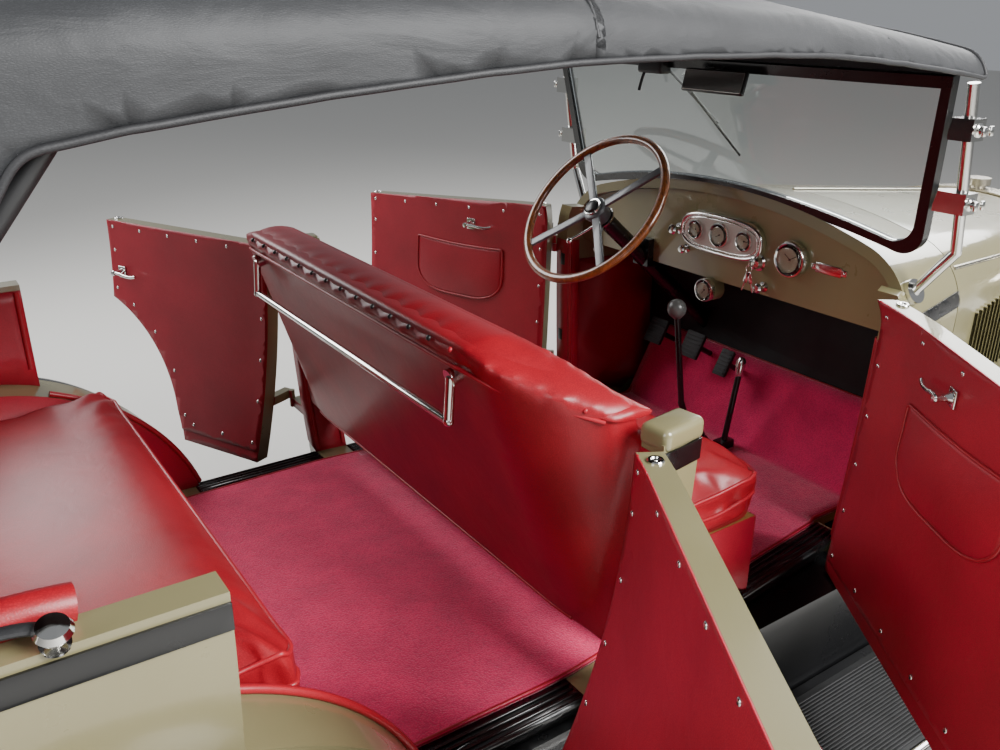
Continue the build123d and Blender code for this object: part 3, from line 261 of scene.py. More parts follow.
@dataclass(frozen=True)
class Enamel(TwoTone):
    """Brushed and rubbed coach enamel under clear varnish: deep gloss with a faint peel and dust."""

    peel_mm: float = 4.0
    varnish: float = 0.8

    def dress(self, tree: Tree, shader: Node, coords: Socket) -> None:
        """Two close tones, a peel of a few millimetres and a varnish coat."""
        tree.links.new(self.tones(tree, coords, 240, 0.3), shader.inputs["Base Color"])
        peel = add_node(tree, "ShaderNodeTexNoise", {"Scale": per_metre(self.peel_mm), "Detail": 2.0},
                        {"Vector": coords})
        emboss(tree, shader, [(peel.outputs["Fac"], 0.05, 0.0004)])
        self.scuff(tree, shader, coords, 90, 0.7, 1.5)
        shader.inputs["Coat Weight"].default_value = self.varnish
        shader.inputs["Coat Roughness"].default_value = 0.06


@dataclass(frozen=True)
class Plating(Finish):
    """Nickel or chrome plate: mirror-like, with fine wiping marks."""

    slot: ClassVar[str] = "plated"

    def dress(self, tree: Tree, shader: Node, coords: Socket) -> None:
        """Metal with wiping marks a few millimetres long."""
        shader.inputs["Metallic"].default_value = 1.0
        self.scuff(tree, shader, coords, 6, 0.6, 1.7)


@dataclass(frozen=True)
class Leather(TwoTone):
    """Grained hide: pebbles of about 2 mm, drawn a little coarse so that they show, and soft creases."""

    grain_mm: float = 2.6
    crease_mm: float = 46.0
    relief: float = 0.35
    slot: ClassVar[str] = "seat_leather"

    def dress(self, tree: Tree, shader: Node, coords: Socket) -> None:
        """Tone patches, painted shade in the hollows between pebbles, pebble relief and creases."""
        tone = self.tones(tree, coords, 150, 0.28)
        pebble = add_node(tree, "ShaderNodeTexVoronoi",
                          {"feature": "DISTANCE_TO_EDGE", "Scale": per_metre(self.grain_mm)},
                          {"Vector": coords}).outputs["Distance"]
        # Painted shade: the edges between pebbles are darkened as if in shadow.
        paint_hollow_shade(tree, shader, tone, pebble, [(0.0, 0.62), (0.22, 1)], 0.7)
        crease = add_node(tree, "ShaderNodeTexNoise", {"Scale": per_metre(self.crease_mm), "Detail": 6.0,
                                                       "Distortion": 0.6}, {"Vector": coords})
        emboss(tree, shader, [(crease.outputs["Fac"], 0.22, 0.004), (pebble, self.relief, 0.0008)])
        shader.inputs["Coat Weight"].default_value = 0.12
        shader.inputs["Coat Roughness"].default_value = 0.28
        shader.inputs["Specular IOR Level"].default_value = 0.42


@dataclass(frozen=True)
class Carpet(TwoTone):
    """Cut pile wool: tufts of about 3 mm, laid in brushed patches."""

    tuft_mm: float = 3.2
    slot: ClassVar[str] = "floor_board"

    def dress(self, tree: Tree, shader: Node, coords: Socket) -> None:
        """Brushed patches, tufts with painted shade between them, and the soft edge light of wool."""
        tone = self.tones(tree, coords, 70, 0.24)
        tuft = add_node(tree, "ShaderNodeTexVoronoi", {"Scale": per_metre(self.tuft_mm)},
                        {"Vector": coords}).outputs["Distance"]
        # Painted shade: darker away from each tuft's middle, in the valleys of the pile.
        paint_hollow_shade(tree, shader, tone, tuft, [(0.3, 1), (0.85, 0.72)], 0.8)
        nap = add_node(tree, "ShaderNodeTexNoise", {"Scale": per_metre(30), "Detail": 9.0}, {"Vector": coords})
        emboss(tree, shader, [(nap.outputs["Fac"], 0.5, 0.004), (tuft, 0.8, 0.0016)], sunk=True)
        shader.inputs["Sheen Weight"].default_value = 0.35
        shader.inputs["Sheen Roughness"].default_value = 0.45


@dataclass(frozen=True)
class Hoodcloth(TwoTone):
    """Rubber-coated top cloth with an embossed long grain, drawn coarse so that it shows, dulled by dust."""

    grain_mm: float = 1.7
    slot: ClassVar[str] = "top_fabric"

    def dress(self, tree: Tree, shader: Node, coords: Socket) -> None:
        """Dusty patches, an embossed grain longer than it is wide with painted shade in its hollows, and slack
        creases.
        """
        tone = self.tones(tree, coords, 120, 0.22)
        stretch = add_node(tree, "ShaderNodeMapping", {"Scale": (0.45, 1.0, 1.0)}, {"Vector": coords}).outputs[0]
        grain = add_node(tree, "ShaderNodeTexVoronoi",
                         {"feature": "DISTANCE_TO_EDGE", "Scale": per_metre(self.grain_mm)},
                         {"Vector": stretch}).outputs["Distance"]
        # Painted shade: the grain's cell edges are darkened as if in shadow.
        paint_hollow_shade(tree, shader, tone, grain, [(0.0, 0.66), (0.2, 1)], 0.8)
        crease = add_node(tree, "ShaderNodeTexNoise", {"Scale": per_metre(60), "Detail": 7.0, "Distortion": 1.2},
                          {"Vector": stretch})
        emboss(tree, shader, [(crease.outputs["Fac"], 0.35, 0.006), (grain, 0.35, 0.0006)])


@dataclass(frozen=True)
class Timber(TwoTone):
    """Varnished wood with long grain along one axis."""

    grain_mm: float = 7.0
    along: Point = (0.12, 1.0, 1.0)
    slot: ClassVar[str] = "rim_wood"

    def dress(self, tree: Tree, shader: Node, coords: Socket) -> None:
        """Streaks of grain under a varnish coat."""
        stretch = add_node(tree, "ShaderNodeMapping", {"Scale": self.along}, {"Vector": coords})
        grain = add_node(tree, "ShaderNodeTexNoise",
                         {"Scale": per_metre(self.grain_mm), "Detail": 8.0, "Distortion": 0.9},
                         {"Vector": stretch.outputs[0]}).outputs["Fac"]
        ramp = add_node(tree, "ShaderNodeValToRGB",
                        {"stops": [(0.3, linear(self.shade)), (0.62, linear(self.colour))]}, {"Fac": grain})
        tree.links.new(ramp.outputs["Color"], shader.inputs["Base Color"])
        emboss(tree, shader, [(grain, 0.12, 0.0004)])
        shader.inputs["Coat Weight"].default_value = 0.7
        shader.inputs["Coat Roughness"].default_value = 0.1


@dataclass(frozen=True)
class Rubber(TwoTone):
    """Moulded or vulcanised rubber, matt with a bloom of dust."""

    slot: ClassVar[str] = "tyre"

    def dress(self, tree: Tree, shader: Node, coords: Socket) -> None:
        """Dust bloom and a fine mould texture."""
        tree.links.new(self.tones(tree, coords, 60, 0.25), shader.inputs["Base Color"])
        grit = add_node(tree, "ShaderNodeTexNoise", {"Scale": per_metre(2.5), "Detail": 4.0}, {"Vector": coords})
        emboss(tree, shader, [(grit.outputs["Fac"], 0.2, 0.0004)])


@dataclass(frozen=True)
class Casting(Finish):
    """Sand-cast iron or dull steel with an oily film."""

    metallic: float = 0.6
    grit_mm: float = 3.0

    def dress(self, tree: Tree, shader: Node, coords: Socket) -> None:
        """Sand marks and oily patches."""
        shader.inputs["Metallic"].default_value = self.metallic
        self.scuff(tree, shader, coords, 45, 0.7, 1.4, detail=6.0)
        grit = add_node(tree, "ShaderNodeTexNoise", {"Scale": per_metre(self.grit_mm), "Detail": 3.0},
                        {"Vector": coords})
        emboss(tree, shader, [(grit.outputs["Fac"], 0.25, 0.0005)])


@dataclass(frozen=True)
class Glass(Finish):
    """Sheet or moulded glass."""

    ior: float = 1.52
    flute_mm: float = 0.0
    slot: ClassVar[str] = "window"

    def dress(self, tree: Tree, shader: Node, coords: Socket) -> None:
        """Clear transmission, with upright flutes on a lens."""
        shader.inputs["Transmission Weight"].default_value = 1.0
        shader.inputs["IOR"].default_value = self.ior
        if self.flute_mm:
            flute = add_node(tree, "ShaderNodeTexWave",
                             {"bands_direction": "Y", "Scale": per_metre(self.flute_mm) / 6.3},
                             {"Vector": coords})
            emboss(tree, shader, [(flute.outputs["Fac"], 0.6, 0.002)])


@dataclass(frozen=True)
class Honeycomb(Finish):
    """Radiator core: a mesh of brass cells about 9 mm across, with painted shade in the open cells."""

    cell_mm: float = 9.0

    def dress(self, tree: Tree, shader: Node, coords: Socket) -> None:
        """Painted shade in the cells between brass edges."""
        cell = add_node(tree, "ShaderNodeTexVoronoi",
                        {"feature": "DISTANCE_TO_EDGE", "Scale": per_metre(self.cell_mm), "Randomness": 0.12},
                        {"Vector": coords}).outputs["Distance"]
        # The near-black middle of each cell is painted shade, for the depth of the open cells.
        ramp = add_node(tree, "ShaderNodeValToRGB",
                        {"stops": [(0.06, linear(self.colour)), (0.14, linear("#0b0a09"))]}, {"Fac": cell})
        tree.links.new(ramp.outputs["Color"], shader.inputs["Base Color"])
        emboss(tree, shader, [(cell, 1.0, 0.004)], sunk=True)


@dataclass(frozen=True)
class SpokedWood(TwoTone):
    """One wheel's finish by distance from its axle: plated hub, varnished spokes, black felloe and rim."""

    centre_x: float = 0.0
    hub_mm: float = 52.0
    felloe_mm: float = 223.0

    def dress(self, tree: Tree, shader: Node, coords: Socket) -> None:
        """Rings of finish about the axle, with the wood's grain between them."""
        axle = tuple(at(self.centre_x, 0, AXLE_Z))
        moved = add_node(tree, "ShaderNodeVectorMath", {"operation": "SUBTRACT", 1: axle}, {0: coords})
        flat = add_node(tree, "ShaderNodeVectorMath", {"operation": "MULTIPLY", 1: (1.0, 0.0, 1.0)},
                        {0: moved.outputs[0]})
        radius = add_node(tree, "ShaderNodeVectorMath", {"operation": "LENGTH"},
                          {0: flat.outputs[0]}).outputs["Value"]
        grain = add_node(tree, "ShaderNodeTexNoise", {"Scale": per_metre(14), "Detail": 8.0, "Distortion": 1.4},
                         {"Vector": coords})
        wood = add_node(tree, "ShaderNodeValToRGB",
                        {"stops": [(0.32, linear(self.shade)), (0.64, linear(self.colour))]},
                        {"Fac": grain.outputs["Fac"]})
        outer, inner = (add_node(tree, "ShaderNodeMath", {"operation": test, 1: limit / 1000},
                                 {0: radius}).outputs[0]
                        for test, limit in (("GREATER_THAN", self.felloe_mm), ("LESS_THAN", self.hub_mm)))
        black = add_node(tree, "ShaderNodeMix", {"data_type": "RGBA", 7: linear("#0b0b0c")},
                         {0: outer, 6: wood.outputs["Color"]})
        plated = add_node(tree, "ShaderNodeMix", {"data_type": "RGBA", 7: linear("#cfcac0")},
                          {0: inner, 6: black.outputs[2]})
        tree.links.new(plated.outputs[2], shader.inputs["Base Color"])
        tree.links.new(inner, shader.inputs["Metallic"])
        shader.inputs["Coat Weight"].default_value = 0.6
        shader.inputs["Coat Roughness"].default_value = 0.08


# Coach enamel, brushed on and flatted: warm panels with a soft gloss
OLIVE = Enamel("fawn_olive_enamel", "#7f7857", 0.28, "#756f4f")
# Stoved enamel: fenders and mouldings shine hard, the chassis stays duller
BLACK = Enamel("black_stove_enamel", "#0b0b0c", 0.26, "#070708", varnish=0.25)
BLACK_SATIN = Enamel("black_satin_enamel", "#161617", 0.5, "#0e0e0f", varnish=0.1)
SPIDER = Enamel("grey_stove_enamel", "#55575a", 0.35, "#4a4c4f", varnish=0.3)
# Printed and silvered dials: pale and even behind their glasses
DIAL = Enamel("ivory_dial_enamel", "#d8d0b6", 0.5, "#c9c0a4", varnish=0.2)
SILVER_DIAL = Enamel("silvered_dial", "#b9b6ac", 0.45, "#a8a59b", varnish=0.2)
# Plated brass: cool mirrors on the fittings, a warmer and softer one on the radiator
PLATE = Plating("chrome_plate", "#d9d8d4", 0.12)
NICKEL = Plating("nickel_plate", "#c9c2b2", 0.2)
# Raw castings: grey, gritty and oily
IRON = Casting("cast_iron", "#3d3c3a", 0.6)
# Dyed hide: pebbled on doors and panels, stretched smoother over the stuffing and the piping cord
CRIMSON = Leather("crimson_hide", "#b21c30", 0.44, "#961426")
CRIMSON_SMOOTH = Leather("crimson_seat_hide", "#a31724", 0.4, "#7c0e19", grain_mm=3.2, relief=0.22)
PIPING = Leather("crimson_piping", "#b01b2a", 0.4, "#931320", grain_mm=2.0, relief=0.15)
# Cut wool pile: claret, matt and brushed in patches
WOOL = Carpet("claret_wool_pile", "#e01c5e", 0.9, "#c01450")
# Rubber-coated cloth: charcoal, grained and dusty
TOP_CLOTH = Hoodcloth("black_top_cloth", "#2a2b2d", 0.6, "#1e1f21")
TOP_BINDING = Hoodcloth("black_binding_cloth", "#222224", 0.6, "#19191b", grain_mm=2.2)
# Bent and varnished wood: long brown streaks under gloss
RIM_WOOD = Timber("varnished_walnut", "#8a4d24", 0.3, "#4d260f", along=(1.0, 0.35, 0.35))
BOW_WOOD = Timber("varnished_ash", "#9a7443", 0.35, "#7a562c")
FRONT_WHEEL = SpokedWood("front_wheel_finish", "#9a6a35", 0.3, "#6b3f1c", centre_x=FRONT_AXLE_X)
REAR_WHEEL = SpokedWood("rear_wheel_finish", "#9a6a35", 0.3, "#6b3f1c", centre_x=REAR_AXLE_X)
# Vulcanised rubber: matt and dusty on tyres and mats, polished where it is moulded hard
TYRE = Rubber("tyre_rubber", "#232324", 0.82)
MAT = Rubber("ribbed_mat_rubber", "#1c1c1d", 0.65)
EBONITE = Rubber("moulded_ebonite", "#141414", 0.3)
GREY_KNOB = Rubber("grey_moulded_knob", "#5b5b59", 0.3, "#4a4a48")
# Glass: polished plate, and moulded lenses that break the light up
PANE = Glass("plate_glass", "#eef4f1", 0.02)
LENS = Glass("fluted_lens_glass", "#f3f3ee", 0.05, flute_mm=9.0)
RUBY = Glass("ruby_lens_glass", "#b5121b", 0.12)
# Brass cells: a fine bright net over painted shade in the holes
CORE = Honeycomb("radiator_honeycomb", "#6a5a3c", 0.5)


# Shared making of pieces


def finish_piece(name: str, bm: Shape, finish: Finish, body: str = Body.CHASSIS.value,
                 sharp: float = 35.0) -> Piece:
    """Turn a bmesh into a piece that rides on a body.

    Args:
        name: the piece's name.
        bm: its shape in row-frame metres; freed here.
        finish: its finish.
        body: the body it moves with.
        sharp: edges over this angle, in degrees, stay crisp.

    Returns:
        The new object.
    """
    mesh = bpy.data.meshes.new(name)
    bm.to_mesh(mesh)
    bm.free()
    mesh.polygons.foreach_set("use_smooth", [True] * len(mesh.polygons))
    mesh.set_sharp_from_angle(angle=radians(sharp))
    mesh.materials.append(finish.material())
    piece = bpy.data.objects.new(name, mesh)
    bpy.context.scene.collection.objects.link(piece)
    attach(piece, body)
    LOG.info("%s: %d faces on %s", name, len(mesh.polygons), body)
    return piece


def modify(piece: Piece, kind: str, **settings: object) -> bpy.types.Modifier:
    """Add a modifier with its settings."""
    item = piece.modifiers.new(kind.lower(), kind)
    for key, value in settings.items():
        setattr(item, key, value)
    return item


def thicken(piece: Piece, thick_mm: float, outwards: bool = True) -> None:
    """Give a sheet its thickness, on its outer or its inner side."""
    modify(piece, "SOLIDIFY", thickness=thick_mm / 1000, offset=1.0 if outwards else -1.0)


def spin_profile(points: Sequence[Pair], centre: Vector, axis: Vector,
                 steps: int = 32) -> Shape:
    """Turn a profile about an axis.

    Args:
        points: (distance along the axis, radius) in metres.
        centre: a point on the axis, where the distance is zero.
        axis: the axis.
        steps: segments of the full turn.

    Returns:
        A closed or open surface of revolution.
    """
    bm = bmesh.new()
    verts = [bm.verts.new((radius, 0, along)) for along, radius in points]
    edges = [bm.edges.new(pair) for pair in zip(verts, verts[1:])]
    bmesh.ops.spin(bm, geom=verts + edges, cent=(0, 0, 0), axis=(0, 0, 1), angle=tau,
                   steps=steps, use_merge=True)
    seal(bm)
    turn = UP.rotation_difference(axis).to_matrix().to_4x4()
    bm.transform(Matrix.Translation(centre) @ turn)
    return bm


def tube(points: Sequence[Vector], radius: float, closed: bool = False, smooth: bool = True,
         sides: int = 4) -> Shape:
    """A round bar or piping along points.

    Args:
        points: the line, in metres.
        radius: half the bar's width.
        closed: whether the line meets itself.
        smooth: whether the line bends in curves.
        sides: roundness of the section.

    Returns:
        The tube.
    """
    curve = bpy.data.curves.new("line", "CURVE")
    curve.dimensions = "3D"
    curve.bevel_depth = radius
    curve.bevel_resolution = sides
    curve.use_fill_caps = True
    curve.resolution_u = 6
    spline = curve.splines.new("NURBS" if smooth else "POLY")
    spline.points.add(len(points) - 1)
    for spot, point in zip(spline.points, points):
        spot.co = (*point, 1)
    spline.use_cyclic_u = closed
    if smooth:
        spline.order_u = 3
        spline.use_endpoint_u = not closed
    holder = bpy.data.objects.new("line", curve)
    bm = bmesh.new()
    bm.from_mesh(bpy.data.meshes.new_from_object(holder))
    bpy.data.objects.remove(holder)
    return seal(bm)


def join(target: Shape, extra: Shape) -> Shape:
    """Add one shape to another and free it."""
    mesh = bpy.data.meshes.new("joined")
    extra.to_mesh(mesh)
    extra.free()
    target.from_mesh(mesh)
    bpy.data.meshes.remove(mesh)
    return target


def loose_block(low: Point, high: Point, round_mm: float, segments: int = 3) -> Shape:
    """A block with rounded edges, placed about the origin.

    Args:
        low: lowest corner in millimetres.
        high: highest corner.
        round_mm: radius of its edges.
        segments: faces across each round.

    Returns:
        The block.
    """
    bm = bmesh.new()
    bmesh.ops.create_cube(bm, size=1)
    size = [(b - a) / 1000 for a, b in zip(low, high)]
    middle = Vector([(a + b) / 2000 for a, b in zip(low, high)])
    bm.transform(Matrix.Translation(middle) @ Matrix.Diagonal((*size, 1)))
    bmesh.ops.bevel(bm, geom=bm.edges[:], offset=round_mm / 1000, affect="EDGES", segments=segments,
                    profile=0.5, material=-1)
    return bm


def set_down(bm: Shape, spot: Vector, angle: float = 0.0, axis: str = "X") -> Shape:
    """Turn a shape made about the origin, in radians, and set it down at its place."""
    bm.transform(Matrix.Translation(spot) @ Matrix.Rotation(angle, 4, axis))
    return bm


def seal(bm: Shape) -> Shape:
    """Close a made shape's seams and point its faces outwards."""
    bmesh.ops.remove_doubles(bm, verts=bm.verts, dist=MERGE)
    bmesh.ops.recalc_face_normals(bm, faces=bm.faces)
    return bm


def rounded_block(low: Point, high: Point, round_mm: float, segments: int = 3) -> Shape:
    """A block with rounded edges between two corners in the part's millimetres."""
    return set_down(loose_block(low, high, round_mm, segments), at(0, 0, 0))


def cad_shape(node: str) -> Shape:
    """A copy of a CAD node's mesh, to work on."""
    bm = bmesh.new()
    bm.from_mesh(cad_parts[node].data)
    return bm


def surface(bm: Shape) -> BVHTree:
    """A shape's surface, to lay other pieces on; the shape is freed."""
    tree = BVHTree.FromBMesh(bm)
    bm.free()
    return tree


def ease(bm: Shape, verts: Iterable[bmesh.types.BMVert], times: int) -> None:
    """Smooth some vertices of a shape and renew its normals."""
    moved = list(verts)
    for _ in range(times):
        bmesh.ops.smooth_vert(bm, verts=moved, factor=0.5, use_axis_x=True, use_axis_y=True, use_axis_z=True)
    bm.normal_update()


def peel(node: str, keep: Callable[[Vector, Vector], bool]) -> Shape:
    """Copy the faces of a CAD node that pass a test.

    Args:
        node: the node's name.
        keep: takes a face's middle in the part's millimetres, and its normal.

    Returns:
        The open sheet of those faces.
    """
    bm = cad_shape(node)
    bmesh.ops.remove_doubles(bm, verts=bm.verts, dist=CAD_MERGE)
    bm.normal_update()
    drop = []
    for face in bm.faces:
        middle = face.calc_center_median() * 1000
        middle.x -= SHIFT_MM
        if not keep(middle, face.normal):
            drop.append(face)
    bmesh.ops.delete(bm, geom=drop, context="FACES")
    return bm


def slice_off(bm: Shape, point: Vector, normal: Point) -> None:
    """Cut a sheet by a plane and drop what lies on the normal's side."""
    geometry = bm.verts[:] + bm.edges[:] + bm.faces[:]
    bmesh.ops.bisect_plane(bm, geom=geometry, plane_co=point, plane_no=normal, clear_outer=True)


def dome(centre: Vector, normal: Vector, radius: float, height: float) -> Shape:
    """A small domed head, such as a screw or a tack, standing on a surface."""
    profile = [(height, 0.0), (height * 0.86, radius * 0.5), (height * 0.45, radius * 0.88), (0.0, radius),
               (-height * 0.5, radius)]
    return spin_profile(profile, centre, normal, 10)


def paint(node: str, finish: Finish) -> None:
    """Give a CAD node its finish."""
    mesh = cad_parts[node].data
    if not mesh.materials:
        mesh.materials.append(finish.material())
    for index in range(len(mesh.materials)):
        mesh.materials[index] = finish.material()


def cut_cells(bm: Shape, cell_mm: float, axes: str = "xyz") -> None:
    """Cut a sheet by level planes into small cells, so that it bends and its edges can be followed."""
    for axis, low, high in CELL_SPANS:
        places = [vert.co["xyz".index(axis)] for vert in bm.verts] if axis in axes else []
        for k in range(int((high - low) / cell_mm)):
            point = low + cell_mm * k
            spot = at(*[point if name == axis else 0 for name in "xyz"])
            place = spot["xyz".index(axis)]
            if places and min(places) < place < max(places):
                geometry = bm.verts[:] + bm.edges[:] + bm.faces[:]
                bmesh.ops.bisect_plane(bm, geom=geometry, plane_co=spot,
                                       plane_no=[float(name == axis) for name in "xyz"])
    bmesh.ops.remove_doubles(bm, verts=bm.verts, dist=SLIVER)


def free_edges(bm: Shape, inset: float) -> list[tuple[list[Vector], bool]]:
    """Follow the free edges of a sheet.

    Args:
        bm: the sheet.
        inset: how far inside its edge the points lie, in metres.

    Returns:
        For every run of free edges, its points in order and whether it closes.
    """
    left = dict.fromkeys(edge for edge in bm.edges if edge.is_boundary)
    runs = []
    while left:
        edge = next(iter(left))
        del left[edge]
        start, vert = edge.verts
        chain = [edge]
        while vert is not start:
            edge = next((other for other in vert.link_edges if other in left), None)
            if edge is None:
                break
            del left[edge]
            chain.append(edge)
            vert = edge.other_vert(vert)
        points = []
        for edge in chain:
            middle = (edge.verts[0].co + edge.verts[1].co) / 2
            face = edge.link_faces[0]
            way = face.normal.cross(edge.verts[1].co - edge.verts[0].co).normalized()
            turned = way if way.dot(face.calc_center_median() - middle) > 0 else -way
            points.append(middle + turned * inset)
        runs.append((points, vert is start))
    return runs


def edging(bm: Shape, radius: float, inset: float = 0.0, shortest: int = 8) -> Shape:
    """Piping along every free edge of a sheet that is longer than a few cells."""
    bm.normal_update()
    bound = bmesh.new()
    for points, closed in free_edges(bm, inset):
        if len(points) >= shortest:
            join(bound, tube(points, radius, closed=closed))
    return bound


# Coachwork


NODE_FINISHES: dict[Finish, str] = {
    OLIVE: "body_tub cowl dashboard hood_left hood_right door_front_left door_front_right door_rear_left "
           "door_rear_right",
    BLACK_SATIN: "frame front_axle rear_axle knuckle_left knuckle_right leaf_springs tie_rod fuel_tank top_bows",
    BLACK: "front_fenders rear_fenders running_boards splash_aprons spare_rim steering_column windscreen_frame "
           "tail_lamps floor_controls",
    NICKEL: "radiator_shell hood_rod headlamps",
    PLATE: "robe_rail windscreen_posts",
    CORE: "radiator_core",
    IRON: "engine drive_line exhaust",
    BOW_WOOD: "floor",
    PANE: "windscreen_glass",
    FRONT_WHEEL: "wheel_front_left wheel_front_right",
    REAR_WHEEL: "wheel_rear_left wheel_rear_right",
    TYRE: "tyre_front_left tyre_front_right tyre_rear_left tyre_rear_right spare_tyre",
}


@dataclass
class DoorPlace:
    """Where one door hangs: the details are laid out on a closed left door and carried to its place."""

    name: str
    side: Side
    hinge: Pair
    open_degrees: float
    reach: Pair
    slope: float
    half_width: float = 707.0

    @property
    def node(self) -> str:
        """The door's CAD node, which is also its body."""
        return f"{self.name}_{self.side.label}"

    def skin_y(self, x: float) -> float:
        """How far out the skin of the closed left door lies at a place along it."""
        return self.half_width - self.slope * max(0.0, x)

    def carry(self) -> Matrix:
        """The transform from the closed left door to this one as it stands."""
        pin = at(self.hinge[0], self.hinge[1], 0)
        turn = Matrix.Rotation(-radians(self.open_degrees), 4, "Z")
        swung = Matrix.Translation(pin) @ turn @ Matrix.Translation(-pin)
        return Matrix.Diagonal((1, self.side.value, 1, 1)) @ swung

    def unhang(self, bm: Shape) -> Shape:
        """Carry a shape from this door to the closed left one."""
        return self.move(bm, self.carry().inverted())

    def hang(self, bm: Shape) -> Shape:
        """Carry a shape from the closed left door to this one."""
        return self.move(bm, self.carry())

    def move(self, bm: Shape, way: Matrix) -> Shape:
        """Transform a shape and keep its faces pointing outwards."""
        bm.transform(way)
        if self.side is Side.RIGHT:
            bmesh.ops.reverse_faces(bm, faces=bm.faces)
        bm.normal_update()
        return bm


DOORS = [
    DoorPlace("door_front", Side.LEFT, (793, 566), 60, (85, 793), 0.19),
    DoorPlace("door_front", Side.RIGHT, (793, 566), 50, (85, 793), 0.19),
    DoorPlace("door_rear", Side.LEFT, (0, 713), 65, (-621, 0), 0.0),
    DoorPlace("door_rear", Side.RIGHT, (0, 713), 60, (-621, 0), 0.0),
]


@dataclass
class DoorFittings:
    """Leather lining, screws, pocket, handles, catch and weather strip of one door."""

    place: DoorPlace
    lining_mm: float = 3.5
    piping_mm: float = 3.0
    hinge_margin_mm: float = 10.0
    screw_mm: float = 5.0
    screw_gap_mm: float = 118.0
    foot_mm: float = 609.0
    arch_mm: float = 522.0
    edge_lean: float = 8.7
    handle_z: float = 1085.0
    ground_mm: float = 0.6
    skin: Optional[BVHTree] = None
    inside: Optional[BVHTree] = None

    def build(self) -> None:
        """Make every fitting of this door."""
        self.skin = surface(self.place.unhang(cad_shape(self.place.node)))
        self.lining()
        self.screws()
        if self.place.name == "door_front":
            self.pocket()
        self.inner_handle()
        self.outer_handle()
        self.shutting_edge()
        self.curtain_buttons()

    def fit(self, name: str, bm: Shape, finish: Finish) -> Piece:
        """Hang a fitting on the door as a piece of its own."""
        return finish_piece(f"{self.place.node}_{name}", self.place.hang(bm), finish, self.place.node)

    def hit(self, x: float, z: float) -> Optional[tuple[Vector, Vector]]:
        """The lining's surface at a place on the closed left door, and its normal."""
        spot, normal, _, _ = self.inside.ray_cast(at(x, 200, z), Vector((0, 1, 0)))
        return (spot + normal * (self.lining_mm / 1000), normal) if spot else None

    def lining(self) -> None:
        """A piped leather panel on the inner face, over a thin leather ground that shows at its edges."""
        inward = (self.place.carry().to_3x3() @ Vector((0, -1, 0))).normalized()
        bm = self.place.unhang(peel(self.place.node, lambda middle, normal: normal.dot(inward) > 0.75))
        cut_cells(bm, 24.0, "xz")
        ground = bm.copy()
        slice_off(bm, at(0, 0, self.foot_mm), (0, 0, -1))
        slice_off(bm, at(self.place.reach[1] - self.hinge_margin_mm, 0, 0), (1, 0, 0))
        self.inside = BVHTree.FromBMesh(bm)
        bound = edging(bm, self.piping_mm / 1000, self.piping_mm / 1000)
        self.fit("lining_piping", bound, PIPING)
        for name, sheet, thick in (("lining", bm, self.lining_mm), ("lining_ground", ground, self.ground_mm)):
            thicken(self.fit(name, sheet, CRIMSON), thick)

    def screws(self) -> None:
        """Domed nickel screws along the lining's edges, and along the arch of a rear door."""
        low, high = self.place.reach
        spots: list[Pair] = []
        run = high - low - 66
        count = round(run / self.screw_gap_mm)
        for k in range(count + 1):
            x = low + 36 + run * k / count
            spots.append((x, 1140 + self.place.slope * 0.28 * (x - low)))
            spots.append((x, self.foot_mm + 20))
        for k in range(1, 5):
            z = self.foot_mm + 20 + k * self.screw_gap_mm * 0.94
            spots += [(high - 26, z), (low + 34, z)]
        if self.place.name == "door_rear":
            spots = [(x, z) for x, z in spots if hypot(x - REAR_AXLE_X, z - ARCH_Z) > self.arch_mm + 2]
            for degrees in (20, 34, 48, 60):
                turn = radians(degrees)
                spots.append((REAR_AXLE_X + self.arch_mm * cos(turn), ARCH_Z + self.arch_mm * sin(turn)))
        bm = bmesh.new()
        for x, z in spots:
            found = self.hit(x, z)
            if found:
                join(bm, dome(found[0], found[1], self.screw_mm / 1000, 0.0024))
        self.fit("screws", bm, PLATE)

    def pocket(self) -> None:
        """A map pocket with a rounded foot, piped all round and slack at its mouth."""
        width, height, middle_x, top_z = 330.0, 168.0, 470.0, 1050.0
        bm = bmesh.new()
        bmesh.ops.create_grid(bm, x_segments=26, y_segments=16, size=0.5)
        for vert in bm.verts:
            across = vert.co.x * 2
            up = vert.co.y + 0.5
            narrow = 1 - 0.2 * (max(0.0, 0.4 - up) / 0.4) ** 2.4
            sag = 7 * (1 - across * across) * up
            found = self.hit(middle_x + across * narrow * width / 2,
                             top_z - (1 - up) * height * (1 - 0.12 * across ** 4) - sag)
            bulge = 2 + 8 * (1 - across ** 4) * sin(pi * min(1.0, 0.1 + up * 0.9))
            if found:
                vert.co = found[0] + found[1] * bulge / 1000
        piping = edging(bm, 0.0032)
        thicken(self.fit("pocket", bm, CRIMSON), 4.0, outwards=False)
        self.fit("pocket_piping", piping, PIPING)

    def inner_handle(self) -> None:
        """A small squared plate, a spindle and a slender swept lever."""
        x, z = (516.0, 1114.0) if self.place.name == "door_front" else (-560.0, 1012.0)
        found = self.hit(x, z)
        if not found:
            return
        base, normal = found
        bm = set_down(loose_block((-15, -4, -17), (15, 1, 17), 2.0), base)
        join(bm, spin_profile([(0.0, 0.011), (0.008, 0.01), (0.012, 0.0072), (0.028, 0.0068), (0.034, 0.0078),
                               (0.037, 0.006), (0.038, 0.0)], base, normal, 24))
        line = [base + normal * (0.03 + lift) + Vector((along, 0, rise)) for along, rise, lift in
                ((-0.004, 0.0, 0), (0.02, 0.002, 0.001), (0.046, -0.003, 0.003), (0.07, -0.004, 0.0),
                 (0.084, 0.0, -0.003))]
        join(bm, tube(line, 0.0046))
        self.fit("inner_handle", bm, PLATE)

